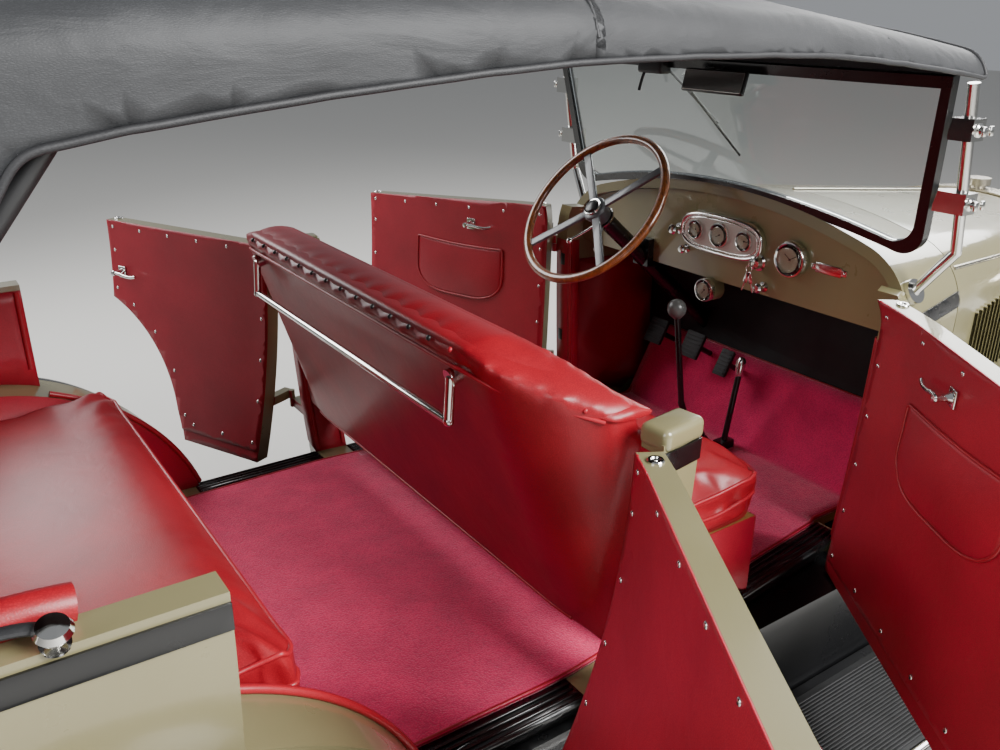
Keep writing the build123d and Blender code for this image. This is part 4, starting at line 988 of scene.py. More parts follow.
    def outer_handle(self) -> None:
        """A plated lever outside the door, on a stepped rose."""
        x = 132.0 if self.place.name == "door_front" else -572.0
        spot, normal, _, _ = self.skin.ray_cast(at(x, 1200, self.handle_z), Vector((0, -1, 0)))
        if not spot:
            return
        rose = spin_profile([(0.0, 0.022), (0.004, 0.021), (0.006, 0.013), (0.034, 0.009), (0.038, 0.009),
                             (0.041, 0.006), (0.042, 0.0)], spot, normal, 24)
        reach = spot + normal * 0.036
        line = [reach + Vector((along, out, 0)) for along, out in
                ((-0.004, 0.0), (0.02, 0.003), (0.06, 0.004), (0.09, 0.002), (0.108, -0.004))]
        self.fit("outer_handle", join(rose, tube(line, 0.0075)), PLATE)

    def lean_on_edge(self, bm: Shape) -> Shape:
        """Turn a shape to the slant of the door's shutting edge."""
        pin = at(self.place.reach[0] + 6, self.place.half_width, 0)
        turn = Matrix.Rotation(radians(self.edge_lean), 4, "Z")
        bm.transform(Matrix.Translation(pin) @ turn @ Matrix.Translation(-pin))
        return bm

    def shutting_edge(self) -> None:
        """Black edging with a rubber strip, and the lock's plate with its bolt, on the shutting edge."""
        x = self.place.reach[0] + 6
        foot = 590.0 if self.place.name == "door_front" else 985.0
        skin_y = self.place.skin_y(x) - 9
        strip = rounded_block((x - 1.2, skin_y - 22, foot), (x + 1.5, skin_y - 6, 1140), 1.2, 2)
        self.fit("edge_strip", self.lean_on_edge(strip), EBONITE)
        z = self.handle_z
        plate = rounded_block((x - 1.6, skin_y - 26, z - 36), (x + 1, skin_y - 4, z + 36), 0.8, 2)
        join(plate, rounded_block((x - 4.4, skin_y - 20, z - 10), (x + 2, skin_y - 9, z + 10), 1.6, 3))
        self.fit("catch", self.lean_on_edge(plate), PLATE)

    def curtain_buttons(self) -> None:
        """Plated eyelets for the side curtains on the door's top."""
        low, high = self.place.reach
        bm = bmesh.new()
        for x in (low + 30, high - 34):
            over = at(x, self.place.skin_y(x) - 22, 1500)
            spot, normal, _, _ = self.skin.ray_cast(over, Vector((0, 0, -1)))
            if spot:
                join(bm, spin_profile([(-0.003, 0.0125), (0.002, 0.0125), (0.0036, 0.011), (0.0036, 0.0075),
                                       (0.0012, 0.006), (0.0012, 0.003), (0.0026, 0.002), (0.0028, 0.0)],
                                      spot, normal, 24))
        self.fit("curtain_buttons", bm, PLATE)


@dataclass
class Coachwork:
    """Painted panels with their mouldings, mats, sills and lamps."""

    belt: Pair = (1112.0, 1146.0)
    belt_mm: float = 4.0
    mat: Pair = (642.0, 856.0)
    mat_ribs: int = 26
    edging_y: float = 865.0
    sill_beads: int = 4
    doorways: tuple[tuple[float, float, str], ...] = ((84.0, 826.0, "front"), (-330.0, 1.0, "rear"))
    headlamp: Point = (2190.0, 400.0, 960.0)
    tail_lamp: Point = (-1325.0, 700.0, 640.0)

    def build(self) -> None:
        """Paint the CAD nodes and add what they carry."""
        for finish, nodes in NODE_FINISHES.items():
            for node in nodes.split():
                paint(node, finish)
        self.belt_moulding()
        self.running_mats()
        self.sills()
        self.hood_fittings()
        self.lamp_glass()

    def belt_moulding(self) -> None:
        """A black moulding along the body, the cowl and the doors below their tops."""
        for node in ("body_tub", "cowl"):
            self.band(peel(node, lambda middle, normal: (
                middle.y * normal.y > 0.2 * abs(middle.y) or (normal.x < -0.6 and middle.x < -1100))),
                f"{node}_belt_moulding")
        for place in DOORS:
            outward = (place.carry().to_3x3() @ Vector((0, 1, 0))).normalized()
            self.band(peel(place.node, lambda middle, normal: normal.dot(outward) > 0.7),
                      f"{place.node}_belt_moulding", place.node)

    def band(self, bm: Shape, name: str, body: str = Body.CHASSIS.value) -> None:
        """Keep the belt's level band of a sheet and raise it."""
        slice_off(bm, at(0, 0, self.belt[0]), (0, 0, -1))
        slice_off(bm, at(0, 0, self.belt[1]), (0, 0, 1))
        piece = finish_piece(name, bm, BLACK, body)
        thicken(piece, self.belt_mm)
        modify(piece, "BEVEL", width=0.0014, segments=2, limit_method="ANGLE", angle_limit=radians(60))

    def running_mats(self) -> None:
        """Ribbed rubber on the running boards, inside a bright edging."""
        low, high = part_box("running_boards")
        front, rear = high.x * 1000 - SHIFT_MM - 34, low.x * 1000 - SHIFT_MM + 12
        for side in Side:
            y0, y1 = sorted(side.value * y for y in self.mat)
            bm = rounded_block((rear, y0, 410.2), (front, y1, 413.2), 1.0, 2)
            pitch = (y1 - y0 - 20) / self.mat_ribs
            for k in range(self.mat_ribs):
                y = y0 + 10 + pitch * k
                join(bm, rounded_block((rear + 10, y, 412.6), (front - 10, y + pitch * 0.55, 416.6), 0.9, 1))
            finish_piece(f"running_mat_{side.label}", bm, MAT)
            edge = side.value * self.edging_y
            strip = rounded_block((rear - 6, edge - 6, 408), (front + 6, edge + 6.5, 416), 2.5, 3)
            finish_piece(f"running_board_edging_{side.label}", strip, PLATE)

    def sills(self) -> None:
        """Black sill plates over the tub's sills in the doorways, with raised beads along them."""
        bm = peel("body_tub", lambda middle, normal: (
            (normal.z > 0.9 and 600 < middle.z < 625) or (middle.y * normal.y > 0.5 * abs(middle.y))))
        slice_off(bm, at(0, 0, 616), (0, 0, 1))
        for low, high, name in self.doorways:
            plate = bm.copy()
            slice_off(plate, at(low, 0, 0), (-1, 0, 0))
            slice_off(plate, at(high, 0, 0), (1, 0, 0))
            for side in Side:
                for k in range(self.sill_beads):
                    inset = 52 + 14 * k
                    y = [side.value * (617 - 0.112 * max(0.0, x) - inset) for x in (low, high)]
                    join(plate, tube([at(low + 6, y[0], 614.5), at(high - 6, y[1], 614.5)], 0.0022, smooth=False))
            thicken(finish_piece(f"{name}_sill_plates", plate, BLACK), 1.5)
        bm.free()

    def hood_fittings(self) -> None:
        """Hinge beads along the hood's shoulders and two lift handles on each side panel."""
        for side in Side:
            node = f"hood_{side.label}"
            skin = surface(cad_shape(node))
            inward = Vector((0, -side.value, 0))
            line = []
            for k in range(10):
                start = at(1142 + 836 * k / 9, side.value * 900, 1190 - 72 * k / 9)
                line.append(skin.ray_cast(start, inward)[0])
            bead = tube([spot for spot in line if spot], 0.0055)
            finish_piece(f"{node}_hinge_bead", bead, NICKEL, node)
            lifts = bmesh.new()
            for x in (1200.0, 1920.0):
                spot, normal, _, _ = skin.ray_cast(at(x, side.value * 900, 880), inward)
                if spot:
                    join(lifts, self.lift_handle(spot, normal))
            finish_piece(f"{node}_lift_handles", lifts, PLATE, node)

    @staticmethod
    def lift_handle(spot: Vector, normal: Vector) -> Shape:
        """An upright bowed grip on two domed feet."""
        line = [spot + normal * out + Vector((0, 0, up)) for out, up in
                ((-0.002, 0.034), (0.018, 0.03), (0.026, 0.0), (0.018, -0.03), (-0.002, -0.034))]
        bm = tube(line, 0.0052)
        for up in (-0.033, 0.033):
            join(bm, dome(spot + Vector((0, 0, up)), normal, 0.012, 0.006))
        return bm

    @staticmethod
    def mirrored(place: Point, side: Side) -> Vector:
        """A place of the left side, on either side."""
        return at(place[0], side.value * place[1], place[2])

    def lamp_glass(self) -> None:
        """Fluted lenses with plated rims on the headlamps, and ruby lenses behind."""
        forward = Vector((1, 0, 0))
        for side in Side:
            name = side.label
            centre = self.mirrored(self.headlamp, side)
            rim = spin_profile([(-0.012, 0.108), (-0.012, 0.116), (0.004, 0.1165), (0.012, 0.112), (0.014, 0.104),
                                (0.009, 0.1), (0.003, 0.1)], centre, forward, 48)
            finish_piece(f"headlamp_rim_{name}", rim, PLATE)
            lens = spin_profile([(0.0005, 0.1005), (0.004, 0.1005), (0.012, 0.07), (0.0155, 0.035),
                                 (0.0165, 0.0)], centre, forward, 48)
            finish_piece(f"headlamp_lens_{name}", lens, LENS)
            rear = self.mirrored(self.tail_lamp, side)
            ring = spin_profile([(0.0, 0.034), (0.0, 0.039), (0.008, 0.039), (0.012, 0.035), (0.012, 0.031),
                                 (0.004, 0.031)], rear, -forward, 32)
            finish_piece(f"tail_lamp_rim_{name}", ring, PLATE)
            ruby = spin_profile([(0.0005, 0.0315), (0.005, 0.0315), (0.011, 0.02), (0.013, 0.0)],
                                rear, -forward, 32)
            finish_piece(f"tail_lamp_lens_{name}", ruby, RUBY)


# Cabin trim


@dataclass
class CabinTrim:
    """Leather panels, windlace, carpets and the rolls on the rear quarters."""

    trim_mm: float = 3.0
    pile_mm: float = 8.0
    windlace_mm: float = 6.5
    post_lean: float = 7.4
    hump_mm: float = 488.0
    doorway_cords: tuple[Pair, ...] = ((7.0, 622), (78.0, 622), (803.0, 622), (-631.0, 968))
    rugs: tuple[tuple[float, float, str], ...] = ((-480.0, 132.0, "rear"), (470.0, 1110.0, "front"))
    post_trim_mm: float = 1.6
    tub: Optional[BVHTree] = None

    def build(self) -> None:
        """Trim the tub, the posts, the cowl's inside and the floor."""
        self.tub = surface(cad_shape("body_tub"))
        self.side_lining()
        self.post_trim()
        self.windlaces()
        self.quarter_rolls()
        self.carpets()

    def panel(self, name: str, bm: Shape, finish: Finish, thick_mm: float) -> None:
        """A trim sheet that stands on the face it was copied from."""
        thicken(finish_piece(name, bm, finish), thick_mm)

    def side_lining(self) -> None:
        """Leather on the inside of the rear quarters, the rear wall and the cowl."""
        tub = peel("body_tub", lambda middle, normal: (
            616 < middle.z < 1157 and middle.x < -20
            and (middle.y * normal.y < -0.5 * abs(middle.y) or (normal.x > 0.6 and middle.x < -1100))))
        slice_off(tub, at(0, 0, 1146), (0, 0, 1))
        self.panel("rear_side_lining", tub, CRIMSON, self.trim_mm)
        cowl = peel("cowl", lambda middle, normal: (
            middle.y * normal.y < -0.6 * abs(middle.y) and 616 < middle.z < 1120 and middle.x < 1105))
        slice_off(cowl, at(0, 0, 1040), (0, 0, 1))
        self.panel("kick_panels", cowl, CRIMSON, self.trim_mm)
        wall = peel("cowl", lambda middle, normal: normal.x < -0.8 and 616 < middle.z and middle.x > 1080)
        self.panel("firewall_felt", wall, MAT, self.trim_mm)

    def post_trim(self) -> None:
        """Leather on both pairs of posts, with two lock mortises in each front post drawn as black plates of
        painted shade.
        """
        front = peel("body_tub", lambda middle, normal: (
            780 < middle.x < 840 and 616 < middle.z < 1200
            and (normal.x < -0.8 or middle.y * normal.y < -0.6 * abs(middle.y))))
        slice_off(front, at(0, 0, 1104), (0, 0, 1))
        self.panel("front_post_trim", front, CRIMSON, self.post_trim_mm)
        middle_posts = peel("body_tub", lambda middle, normal: (
            -6 < middle.x < 90 and 616 < middle.z < 1158
            and (normal.x < -0.8 or middle.y * normal.y < -0.6 * abs(middle.y))))
        slice_off(middle_posts, at(0, 0, 1140), (0, 0, 1))
        self.panel("middle_post_trim", middle_posts, CRIMSON, self.post_trim_mm)
        for side in Side:
            # The mortises are not cut: thin black plates on the post stand for the shade inside them.
            holes = bmesh.new()
            for z in (1046.0, 812.0):
                y = side.value * 524
                join(holes, rounded_block((790.6, y - 9, z - 17), (792.2, y + 9, z + 17), 0.6, 2))
            finish_piece(f"post_mortises_{side.label}", holes, EBONITE)
            y = side.value * 658
            striker = rounded_block((85.2, y - 15, 1052), (87.6, y + 15, 1118), 0.9, 2)
            join(striker, rounded_block((86.0, y - 9, 1066), (90.6, y + 3, 1104), 1.4, 2))
            finish_piece(f"striker_{side.label}", striker, PLATE)
            face = rounded_block((85.1, y - 21, 990), (86.4, y + 20, 1156), 0.5, 1)
            finish_piece(f"post_face_{side.label}", face, EBONITE)
            cap = loose_block((-45, -27, -14), (46, 27, 22), 11.0, 5)
            line = [Vector((-0.036, 0.021, 0.0165)), Vector((0.037, 0.021, 0.0165))]
            join(cap, tube(line, 0.0035, smooth=False))
            way = Matrix.Diagonal((1, side.value, 1, 1)) @ Matrix.Rotation(-radians(self.post_lean), 4, "Z")
            cap.transform(Matrix.Translation(at(42.5, side.value * 674.5, 1158)) @ way)
            bmesh.ops.recalc_face_normals(cap, faces=cap.faces)
            finish_piece(f"post_cap_{side.label}", cap, OLIVE)

    def inside(self, x: float, z: float, side: Side) -> Vector:
        """The tub's inner surface at a place, met from the middle of the car."""
        spot = self.tub.ray_cast(at(x, side.value * 300, z), Vector((0, side.value, 0)))[0]
        return spot if spot else at(x, side.value * 640, z)

    def windlaces(self) -> None:
        """Round leather cords along the doorways' inner edges and over the wheel humps."""
        for side in Side:
            cords = bmesh.new()
            inset = Vector((0, -side.value * 0.002, 0))
            for x, foot in self.doorway_cords:
                line = [self.inside(x, z, side) + inset for z in range(foot, 1150, 44)]
                join(cords, tube(line, self.windlace_mm / 1000))
            arc = [at(REAR_AXLE_X + self.hump_mm * cos(radians(turn)), side.value * 566,
                      ARCH_Z + self.hump_mm * sin(radians(turn))) for turn in range(18, 72, 4)]
            join(cords, tube(arc, self.windlace_mm / 1000))
            finish_piece(f"windlace_{side.label}", cords, PIPING)

    def quarter_rolls(self) -> None:
        """A padded leather roll along the top of each rear quarter, and the top's plated fasteners."""
        for side in Side:
            y = side.value
            line = [at(-762, y * 641, 1166), at(-790, y * 642, 1171), at(-860, y * 641, 1173),
                    at(-940, y * 634, 1172), at(-1040, y * 612, 1168)]
            roll = finish_piece(f"quarter_roll_{side.label}", tube(line, 0.022, sides=6), CRIMSON_SMOOTH)
            knob = spin_profile([(0.0, 0.015), (0.003, 0.015), (0.005, 0.007), (0.014, 0.0065), (0.017, 0.016),
                                 (0.023, 0.019), (0.03, 0.0155), (0.033, 0.007), (0.034, 0.0)],
                                at(-788, y * 692, 1160), Vector((0, y * 0.35, 1)).normalized(), 28)
            finish_piece(f"top_fastener_{side.label}", knob, PLATE)
            strap = tube([at(x, y * across, z) for x, across, z in
                          ((-782, 688, 1166), (-800, 684, 1180), (-830, 678, 1184), (-900, 668, 1178),
                           (-980, 655, 1176), (-1060, 630, 1180))], 0.009)
            for vert in strap.verts:
                vert.co.z = at(0, 0, 1180).z + (vert.co.z - at(0, 0, 1180).z) * 0.6
            finish_piece(f"top_strap_{side.label}", strap, TOP_BINDING)

    def carpets(self) -> None:
        """Wool pile with a bound edge on the floor and the toe slope, and leather on the seat boxes."""
        flat = peel("floor", lambda middle, normal: normal.z > 0.4 and 611 < middle.z < 780)
        cut_cells(flat, 40.0, "xy")
        rims = bmesh.new()
        for low, high, name in self.rugs:
            rug = flat.copy()
            slice_off(rug, at(low, 0, 0), (-1, 0, 0))
            slice_off(rug, at(high, 0, 0), (1, 0, 0))
            rim = edging(rug, 0.0045, 0.004)
            join(rims, set_down(rim, UP * (self.pile_mm / 1000 - 0.003)))
            self.panel(f"{name}_carpet", rug, WOOL, self.pile_mm)
        finish_piece("carpet_binding", rims, PIPING)
        flat.free()
        boards = peel("floor", lambda middle, normal: (
            abs(normal.z) < 0.3 and middle.z > 616 and -520 < middle.x < 500))
        self.panel("heel_boards", boards, CRIMSON, self.trim_mm)


# Seats


@dataclass
class Cushion:
    """One stuffed leather piece made from its plain CAD solid and blown up a little as cloth."""

    node: str
    name: str
    fill: float
    shrink_mm: float
    cap_mm: float
    held: Callable[[Vector], bool]
    cell_mm: float = 11.0
    pressure: float = 4.0
    frames: int = 20
    corner_mm: float = 0.0
    crown_mm: float = 0.0
    tuck_mm: float = 0.0

    def build(self) -> Piece:
        """Remesh, blow up, smooth and finish the piece."""
        bm = cad_shape(self.node)
        bmesh.ops.remove_doubles(bm, verts=bm.verts, dist=CAD_MERGE)
        piece = finish_piece(self.name, bm, CRIMSON_SMOOTH)
        modify(piece, "REMESH", mode="VOXEL", voxel_size=self.cell_mm / 1000)
        self.freeze(piece)
        self.soften(piece)
        self.blow_up(piece)
        piece.data.polygons.foreach_set("use_smooth", [True] * len(piece.data.polygons))
        modify(piece, "SUBSURF", levels=1, render_levels=1)
        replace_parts(piece, self.node)
        return piece

    @staticmethod
    def freeze(piece: Piece) -> None:
        """Apply what the modifiers make."""
        shown = piece.evaluated_get(bpy.context.evaluated_depsgraph_get())
        mesh = bpy.data.meshes.new_from_object(shown)
        piece.modifiers.clear()
        piece.data = mesh

    def soften(self, piece: Piece) -> None:
        """Round the corners and draw the skin in, so that it can swell."""
        bm = bmesh.new()
        bm.from_mesh(piece.data)
        if self.corner_mm:
            self.plump(bm)
        ease(bm, bm.verts, 3)
        for vert in bm.verts:
            if not self.held(vert.co):
                vert.co -= vert.normal * (self.shrink_mm / 1000)
        bm.to_mesh(piece.data)
        bm.free()

    def plump(self, bm: Shape) -> None:
        """Round the front corners in plan, drop the edges below the crown and draw the lower sides in."""
        low, high = [Vector([pick(vert.co[axis] for vert in bm.verts) for axis in range(3)])
                     for pick in (min, max)]
        radius, half = self.corner_mm / 1000, high.y
        for vert in bm.verts:
            co = vert.co
            across, ahead = abs(co.y) - half + radius, co.x - high.x + radius
            if across > 0 and ahead > 0:
                share = max(across, ahead) / hypot(across, ahead)
                co.y = copysign(half - radius + across * share, co.y)
                co.x = high.x - radius + ahead * share
            up = (co.z - low.z) / (high.z - low.z)
            side, front = (abs(co.y) / half) ** 7, ((co.x - low.x) / (high.x - low.x)) ** 6
            co.z -= self.crown_mm / 1000 * up * min(1.0, side + front)
            tuck = self.tuck_mm / 1000 * (1 - up)
            co.y -= copysign(tuck * side, co.y)
            co.x -= tuck * front

    def blow_up(self, piece: Piece) -> None:
        """Let the skin swell as cloth, then keep the shape without the simulation."""
        start = [vert.co.copy() for vert in piece.data.vertices]
        pins = piece.vertex_groups.new(name="held")
        pins.add([vert.index for vert in piece.data.vertices if self.held(vert.co)], 1.0, "REPLACE")
        cloth = modify(piece, "CLOTH")
        cloth.settings.quality = 3
        cloth.settings.mass = 0.4
        cloth.settings.tension_stiffness = 30
        cloth.settings.compression_stiffness = 30
        cloth.settings.bending_stiffness = 4
        cloth.settings.use_pressure = True
        cloth.settings.uniform_pressure_force = self.pressure
        cloth.settings.vertex_group_mass = "held"
        cloth.settings.effector_weights.gravity = 0
        cloth.collision_settings.use_self_collision = False
        scene = bpy.context.scene
        for step in range(1, self.frames + 1):
            scene.frame_set(step)
            shown = piece.evaluated_get(bpy.context.evaluated_depsgraph_get())
            if step == self.frames:
                ends = [vert.co.copy() for vert in shown.data.vertices]
        scene.frame_set(1)
        piece.modifiers.clear()
        piece.vertex_groups.clear()
        cap = self.cap_mm / 1000
        for vert, first, last in zip(piece.data.vertices, start, ends):
            move = last - first
            vert.co = first + move * min(1.0, cap / max(move.length, 1e-9))


@dataclass
class Seats:
    """Both seats: cushions, backs, the tufted roll and the welts."""

    welt_mm: float = 4.2
    roll_top: float = 1262.0
    half: float = 636.0
    tacks: int = 20
    tufted_to: float = 330.0

    def build(self) -> None:
        """Make the four cushions and what is sewn on them."""
        base = at(0, 0, 796).z
        front = Cushion("front_seat_cushion", "front_seat_leather", 0.7, 5, 18, lambda co: co.z < base,
                        corner_mm=95, crown_mm=22, tuck_mm=26).build()
        self.welts("front_seat_welts", front, 896, 520, 95, 842, 527)
        rear_base = at(0, 0, 806).z
        rear = Cushion("rear_seat_cushion", "rear_seat_leather", 0.7, 5, 18, lambda co: co.z < rear_base,
                       corner_mm=45, crown_mm=9, tuck_mm=6).build()
        self.welts("rear_seat_welts", rear, 922, -474, 45, 862, 540)
        Cushion("rear_seat_back", "rear_back_leather", 0.65, 5, 16, lambda co: co.x < at(-1100, 0, 0).x).build()
        post = at(-6, 0, 0).x
        wrap = Cushion("front_seat_back", "front_back_leather", 0.8, 2, 5,
                       lambda co: abs(co.y) > 0.6 or co.x < post, cell_mm=12.0, pressure=1.5)
        skin = self.skin_of(wrap.build())
        self.roll()
        self.back_panel(skin)

    @staticmethod
    def skin_of(piece: Piece) -> BVHTree:
        """The finished surface of a cushion."""
        shown = piece.evaluated_get(bpy.context.evaluated_depsgraph_get())
        bm = bmesh.new()
        bm.from_mesh(shown.to_mesh())
        return surface(bm)

    def welts(self, name: str, piece: Piece, top_z: float, front_x: float, corner: float, foot_z: float,
              half: float) -> None:
        """Piping round the sides and the front of a cushion, along its top edge and lower down.

        Args:
            name: the piping's name.
            piece: the cushion.
            top_z: height of the upper line.
            front_x: how far forward the cushion reaches.
            corner: radius of its front corners in plan.
            foot_z: height of the lower line.
            half: half its width.
        """
        skin = self.skin_of(piece)
        turns = [radians(turn) for turn in range(0, 91, 15)]
        near = [(front_x - corner + corner * sin(turn), -half + corner - corner * cos(turn))
                for turn in turns]
        loop = self.dense([(front_x - 330, -half), *near, *[(x, -y) for x, y in reversed(near)],
                           (front_x - 330, half)])
        bm = bmesh.new()
        for z in (top_z, foot_z):
            join(bm, tube([skin.find_nearest(at(x, y, z))[0] for x, y in loop], self.welt_mm / 1000))
        finish_piece(name, bm, PIPING)

    @staticmethod
    def dense(line: list[Pair], step: float = 40.0) -> list[Pair]:
        """Points added along a line, so that what is laid on a curve follows it."""
        found = [line[0]]
        for (x0, y0), (x1, y1) in zip(line, line[1:]):
            count = max(1, round(hypot(x1 - x0, y1 - y0) / step))
            found += [(x0 + (x1 - x0) * k / count, y0 + (y1 - y0) * k / count) for k in range(1, count + 1)]
        return found

    def crest(self, y: float) -> Pair:
        """The rear edge x and the height of the seat back's top at a place across the car."""
        reach = abs(y)
        bend = min(1.0, max(0.0, (reach - 420) / 220))
        fall = min(1.0, max(0.0, (reach - 440) / 200))
        return -172 + 148 * bend ** 1.7, self.roll_top - 76 * fall ** 1.25

    def roll(self) -> None:
        """The roll along the top, gathered by tacks along its rear edge; the tufts in its middle are black as
        painted shade.
        """
        bm = bmesh.new()
        rings = []
        for k in range(161):
            y = self.half * (k / 80 - 1)
            wave = 0.5 + 0.5 * cos(tau * k / 160 * self.tacks)
            pucker = min(1.0, max(0.0, 1 - (-y - self.tufted_to) / 90))
            rings.append(self.roll_ring(bm, y, wave * pucker))
        for first, second in zip(rings, rings[1:]):
            bmesh.ops.bridge_loops(bm, edges=first + second)
        for ring in (rings[0], rings[-1]):
            bmesh.ops.edgeloop_fill(bm, edges=ring)
        bmesh.ops.recalc_face_normals(bm, faces=bm.faces)
        piece = finish_piece("front_back_roll", bm, CRIMSON_SMOOTH, sharp=60)
        modify(piece, "SUBSURF", levels=1, render_levels=1)
        # The tufts in the gathered middle are the roll's own leather; their black ebonite finish is painted shade
        # for the shadow in the gathers.
        for finish, name, tufted in ((EBONITE, "front_back_tufts_painted_shade", True), (PIPING, "front_back_tacks", False)):
            heads = bmesh.new()
            for k in range(self.tacks):
                y = self.half * (2 * (k + 0.5) / self.tacks - 1)
                if (y > -self.tufted_to - 40) is tufted:
                    rear_x, top_z = self.crest(y)
                    spot = at(rear_x - 3, y, top_z - 8 - 5 * self.fullness(y))
                    join(heads, dome(spot, Vector((-0.9, 0, 0.45)).normalized(), 0.0048, 0.003))
            finish_piece(name, heads, finish)

    @staticmethod
    def fullness(y: float) -> float:
        """How full the roll is across the car: it thins out where it meets the posts."""
        return 1 - 0.72 * min(1.0, max(0.0, (abs(y) - 500) / 136))

    def roll_ring(self, bm: Shape, y: float, pucker: float) -> list[bmesh.types.BMEdge]:
        """One section of the roll, from its rear edge over the crown to the front."""
        rear_x, top_z = self.crest(y)
        full = self.fullness(y)
        width = 124 * (0.45 + 0.55 * full)
        shape = [(0.0, -30), (-0.03, -14), (0.04, 2 - 9 * pucker), (0.16, 8 - 4 * pucker), (0.36, 14), (0.6, 13),
                 (0.82, 6), (0.97, -6), (1.02, -22), (0.97, -34), (0.5, -36)]
        verts = [bm.verts.new(at(rear_x + width * share - 3 * pucker * (share < 0.1), y, top_z - 8 + lift * full))
                 for share, lift in shape]
        return [bm.edges.new((verts[k], verts[(k + 1) % len(verts)])) for k in range(len(verts))]

    def back_panel(self, skin: BVHTree) -> None:
        """Piping along the top edge and along the foot of the seat back's rear face."""
        edge = []
        for y in range(-625, 626, 25):
            rear_x, top_z = self.crest(y)
            edge.append(at(rear_x - 2, y, top_z - 8 - 30 * self.fullness(y)))
        bm = tube(edge, 0.0036)
        foot = [skin.find_nearest(at(2, y, 752))[0] for y in range(-520, 521, 40)]
        join(bm, tube(foot, 0.0034))
        finish_piece("front_back_welts", bm, PIPING)


# Top


@dataclass
class ClothTop:
    """The cloth top: two sheets sewn at a side seam, with a bound hem and a cord along the seam."""

    seam_x: float = -110.0
    cell_mm: float = 32.0
    cloth_mm: float = 3.2
    sag_mm: float = 6.5
    core_z: float = 1.3
    bows: tuple[float, ...] = (-1150.0, -1060.0, -640.0, -150.0, 350.0, 812.0)

    def build(self) -> None:
        """Cut, sag and sew the sheets."""
        cover = peel("top_cover", self.outside)
        cut_cells(cover, self.cell_mm)
        self.slacken(cover)
        hem = edging(cover, 0.0042, shortest=12)
        front = cover.copy()
        slice_off(front, at(self.seam_x - 16, 0, 0), (-1, 0, 0))
        slice_off(cover, at(self.seam_x, 0, 0), (1, 0, 0))
        skin = BVHTree.FromBMesh(cover)
        self.cloth("front_top_sheet", front, (1.52, 0.97))
        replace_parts(self.cloth("rear_top_sheet", cover, (2.0, 1.75)), "top_cover")
        finish_piece("top_hem", hem, TOP_BINDING)
        self.stitching(skin)

    @staticmethod
    def outside(middle: Vector, normal: Vector) -> bool:
        """Whether a face of the cover is on its outer skin."""
        if abs(normal.z) < 0.25 and abs(middle.y) > 560 and middle.x > -1000:
            return middle.y * normal.y > 0.5 * abs(middle.y)
        if middle.x < -900 and normal.z < 0.3:
            return Vector((middle.x + 800, middle.y)).dot(Vector((normal.x, normal.y))) > 0
        return normal.z > 0.1

    def slacken(self, bm: Shape) -> None:
        """Let the cloth sink between the bows, less along its sides, and ease out the cuts' corners."""
        bmesh.ops.dissolve_degenerate(bm, dist=0.002, edges=bm.edges)
        for vert in bm.verts:
            x = vert.co.x * 1000 - SHIFT_MM
            span = [(a, b) for a, b in zip(self.bows, self.bows[1:]) if a <= x <= b]
            if not span:
                continue
            rear, front = span[0]
            share = (x - rear) / (front - rear)
            dip = self.sag_mm * 4 * share * (1 - share)
            way = Vector((0, vert.co.y, vert.co.z - self.core_z)).normalized()
            vert.co -= way * (dip / 1000 * (0.4 + 0.6 * max(0.0, way.z)))
        ease(bm, (vert for vert in bm.verts if not vert.is_boundary), 4)

    def cloth(self, name: str, bm: Shape, flat: Pair) -> Piece:
        """One sheet of the top, as thick as coated cloth.

        Args:
            name: the sheet's name.
            bm: its shape.
            flat: width and length it was cut to, in metres; not used.

        Returns:
            The piece.
        """
        area = sum(face.calc_area() for face in bm.faces)
        LOG.info("%s: %.3f square metres on the bows", name, area)
        piece = finish_piece(name, bm, TOP_CLOTH, sharp=70)
        thicken(piece, self.cloth_mm, outwards=False)
        return piece

    def stitching(self, skin: BVHTree) -> None:
        """A cord across the top along the line where the sheets are sewn together."""
        ring = []
        for k in range(-44, 45):
            turn = radians(2 * k)
            way = Vector((0, sin(turn), cos(turn)))
            spot = skin.ray_cast(at(self.seam_x - 12, 0, 1250) + way * 1.5, -way)[0]
            if spot and spot.z > 1.56:
                ring.append(spot)
        if len(ring) > 3:
            finish_piece("top_seam", tube(ring, 0.003), TOP_BINDING)


# Steering wheel and controls


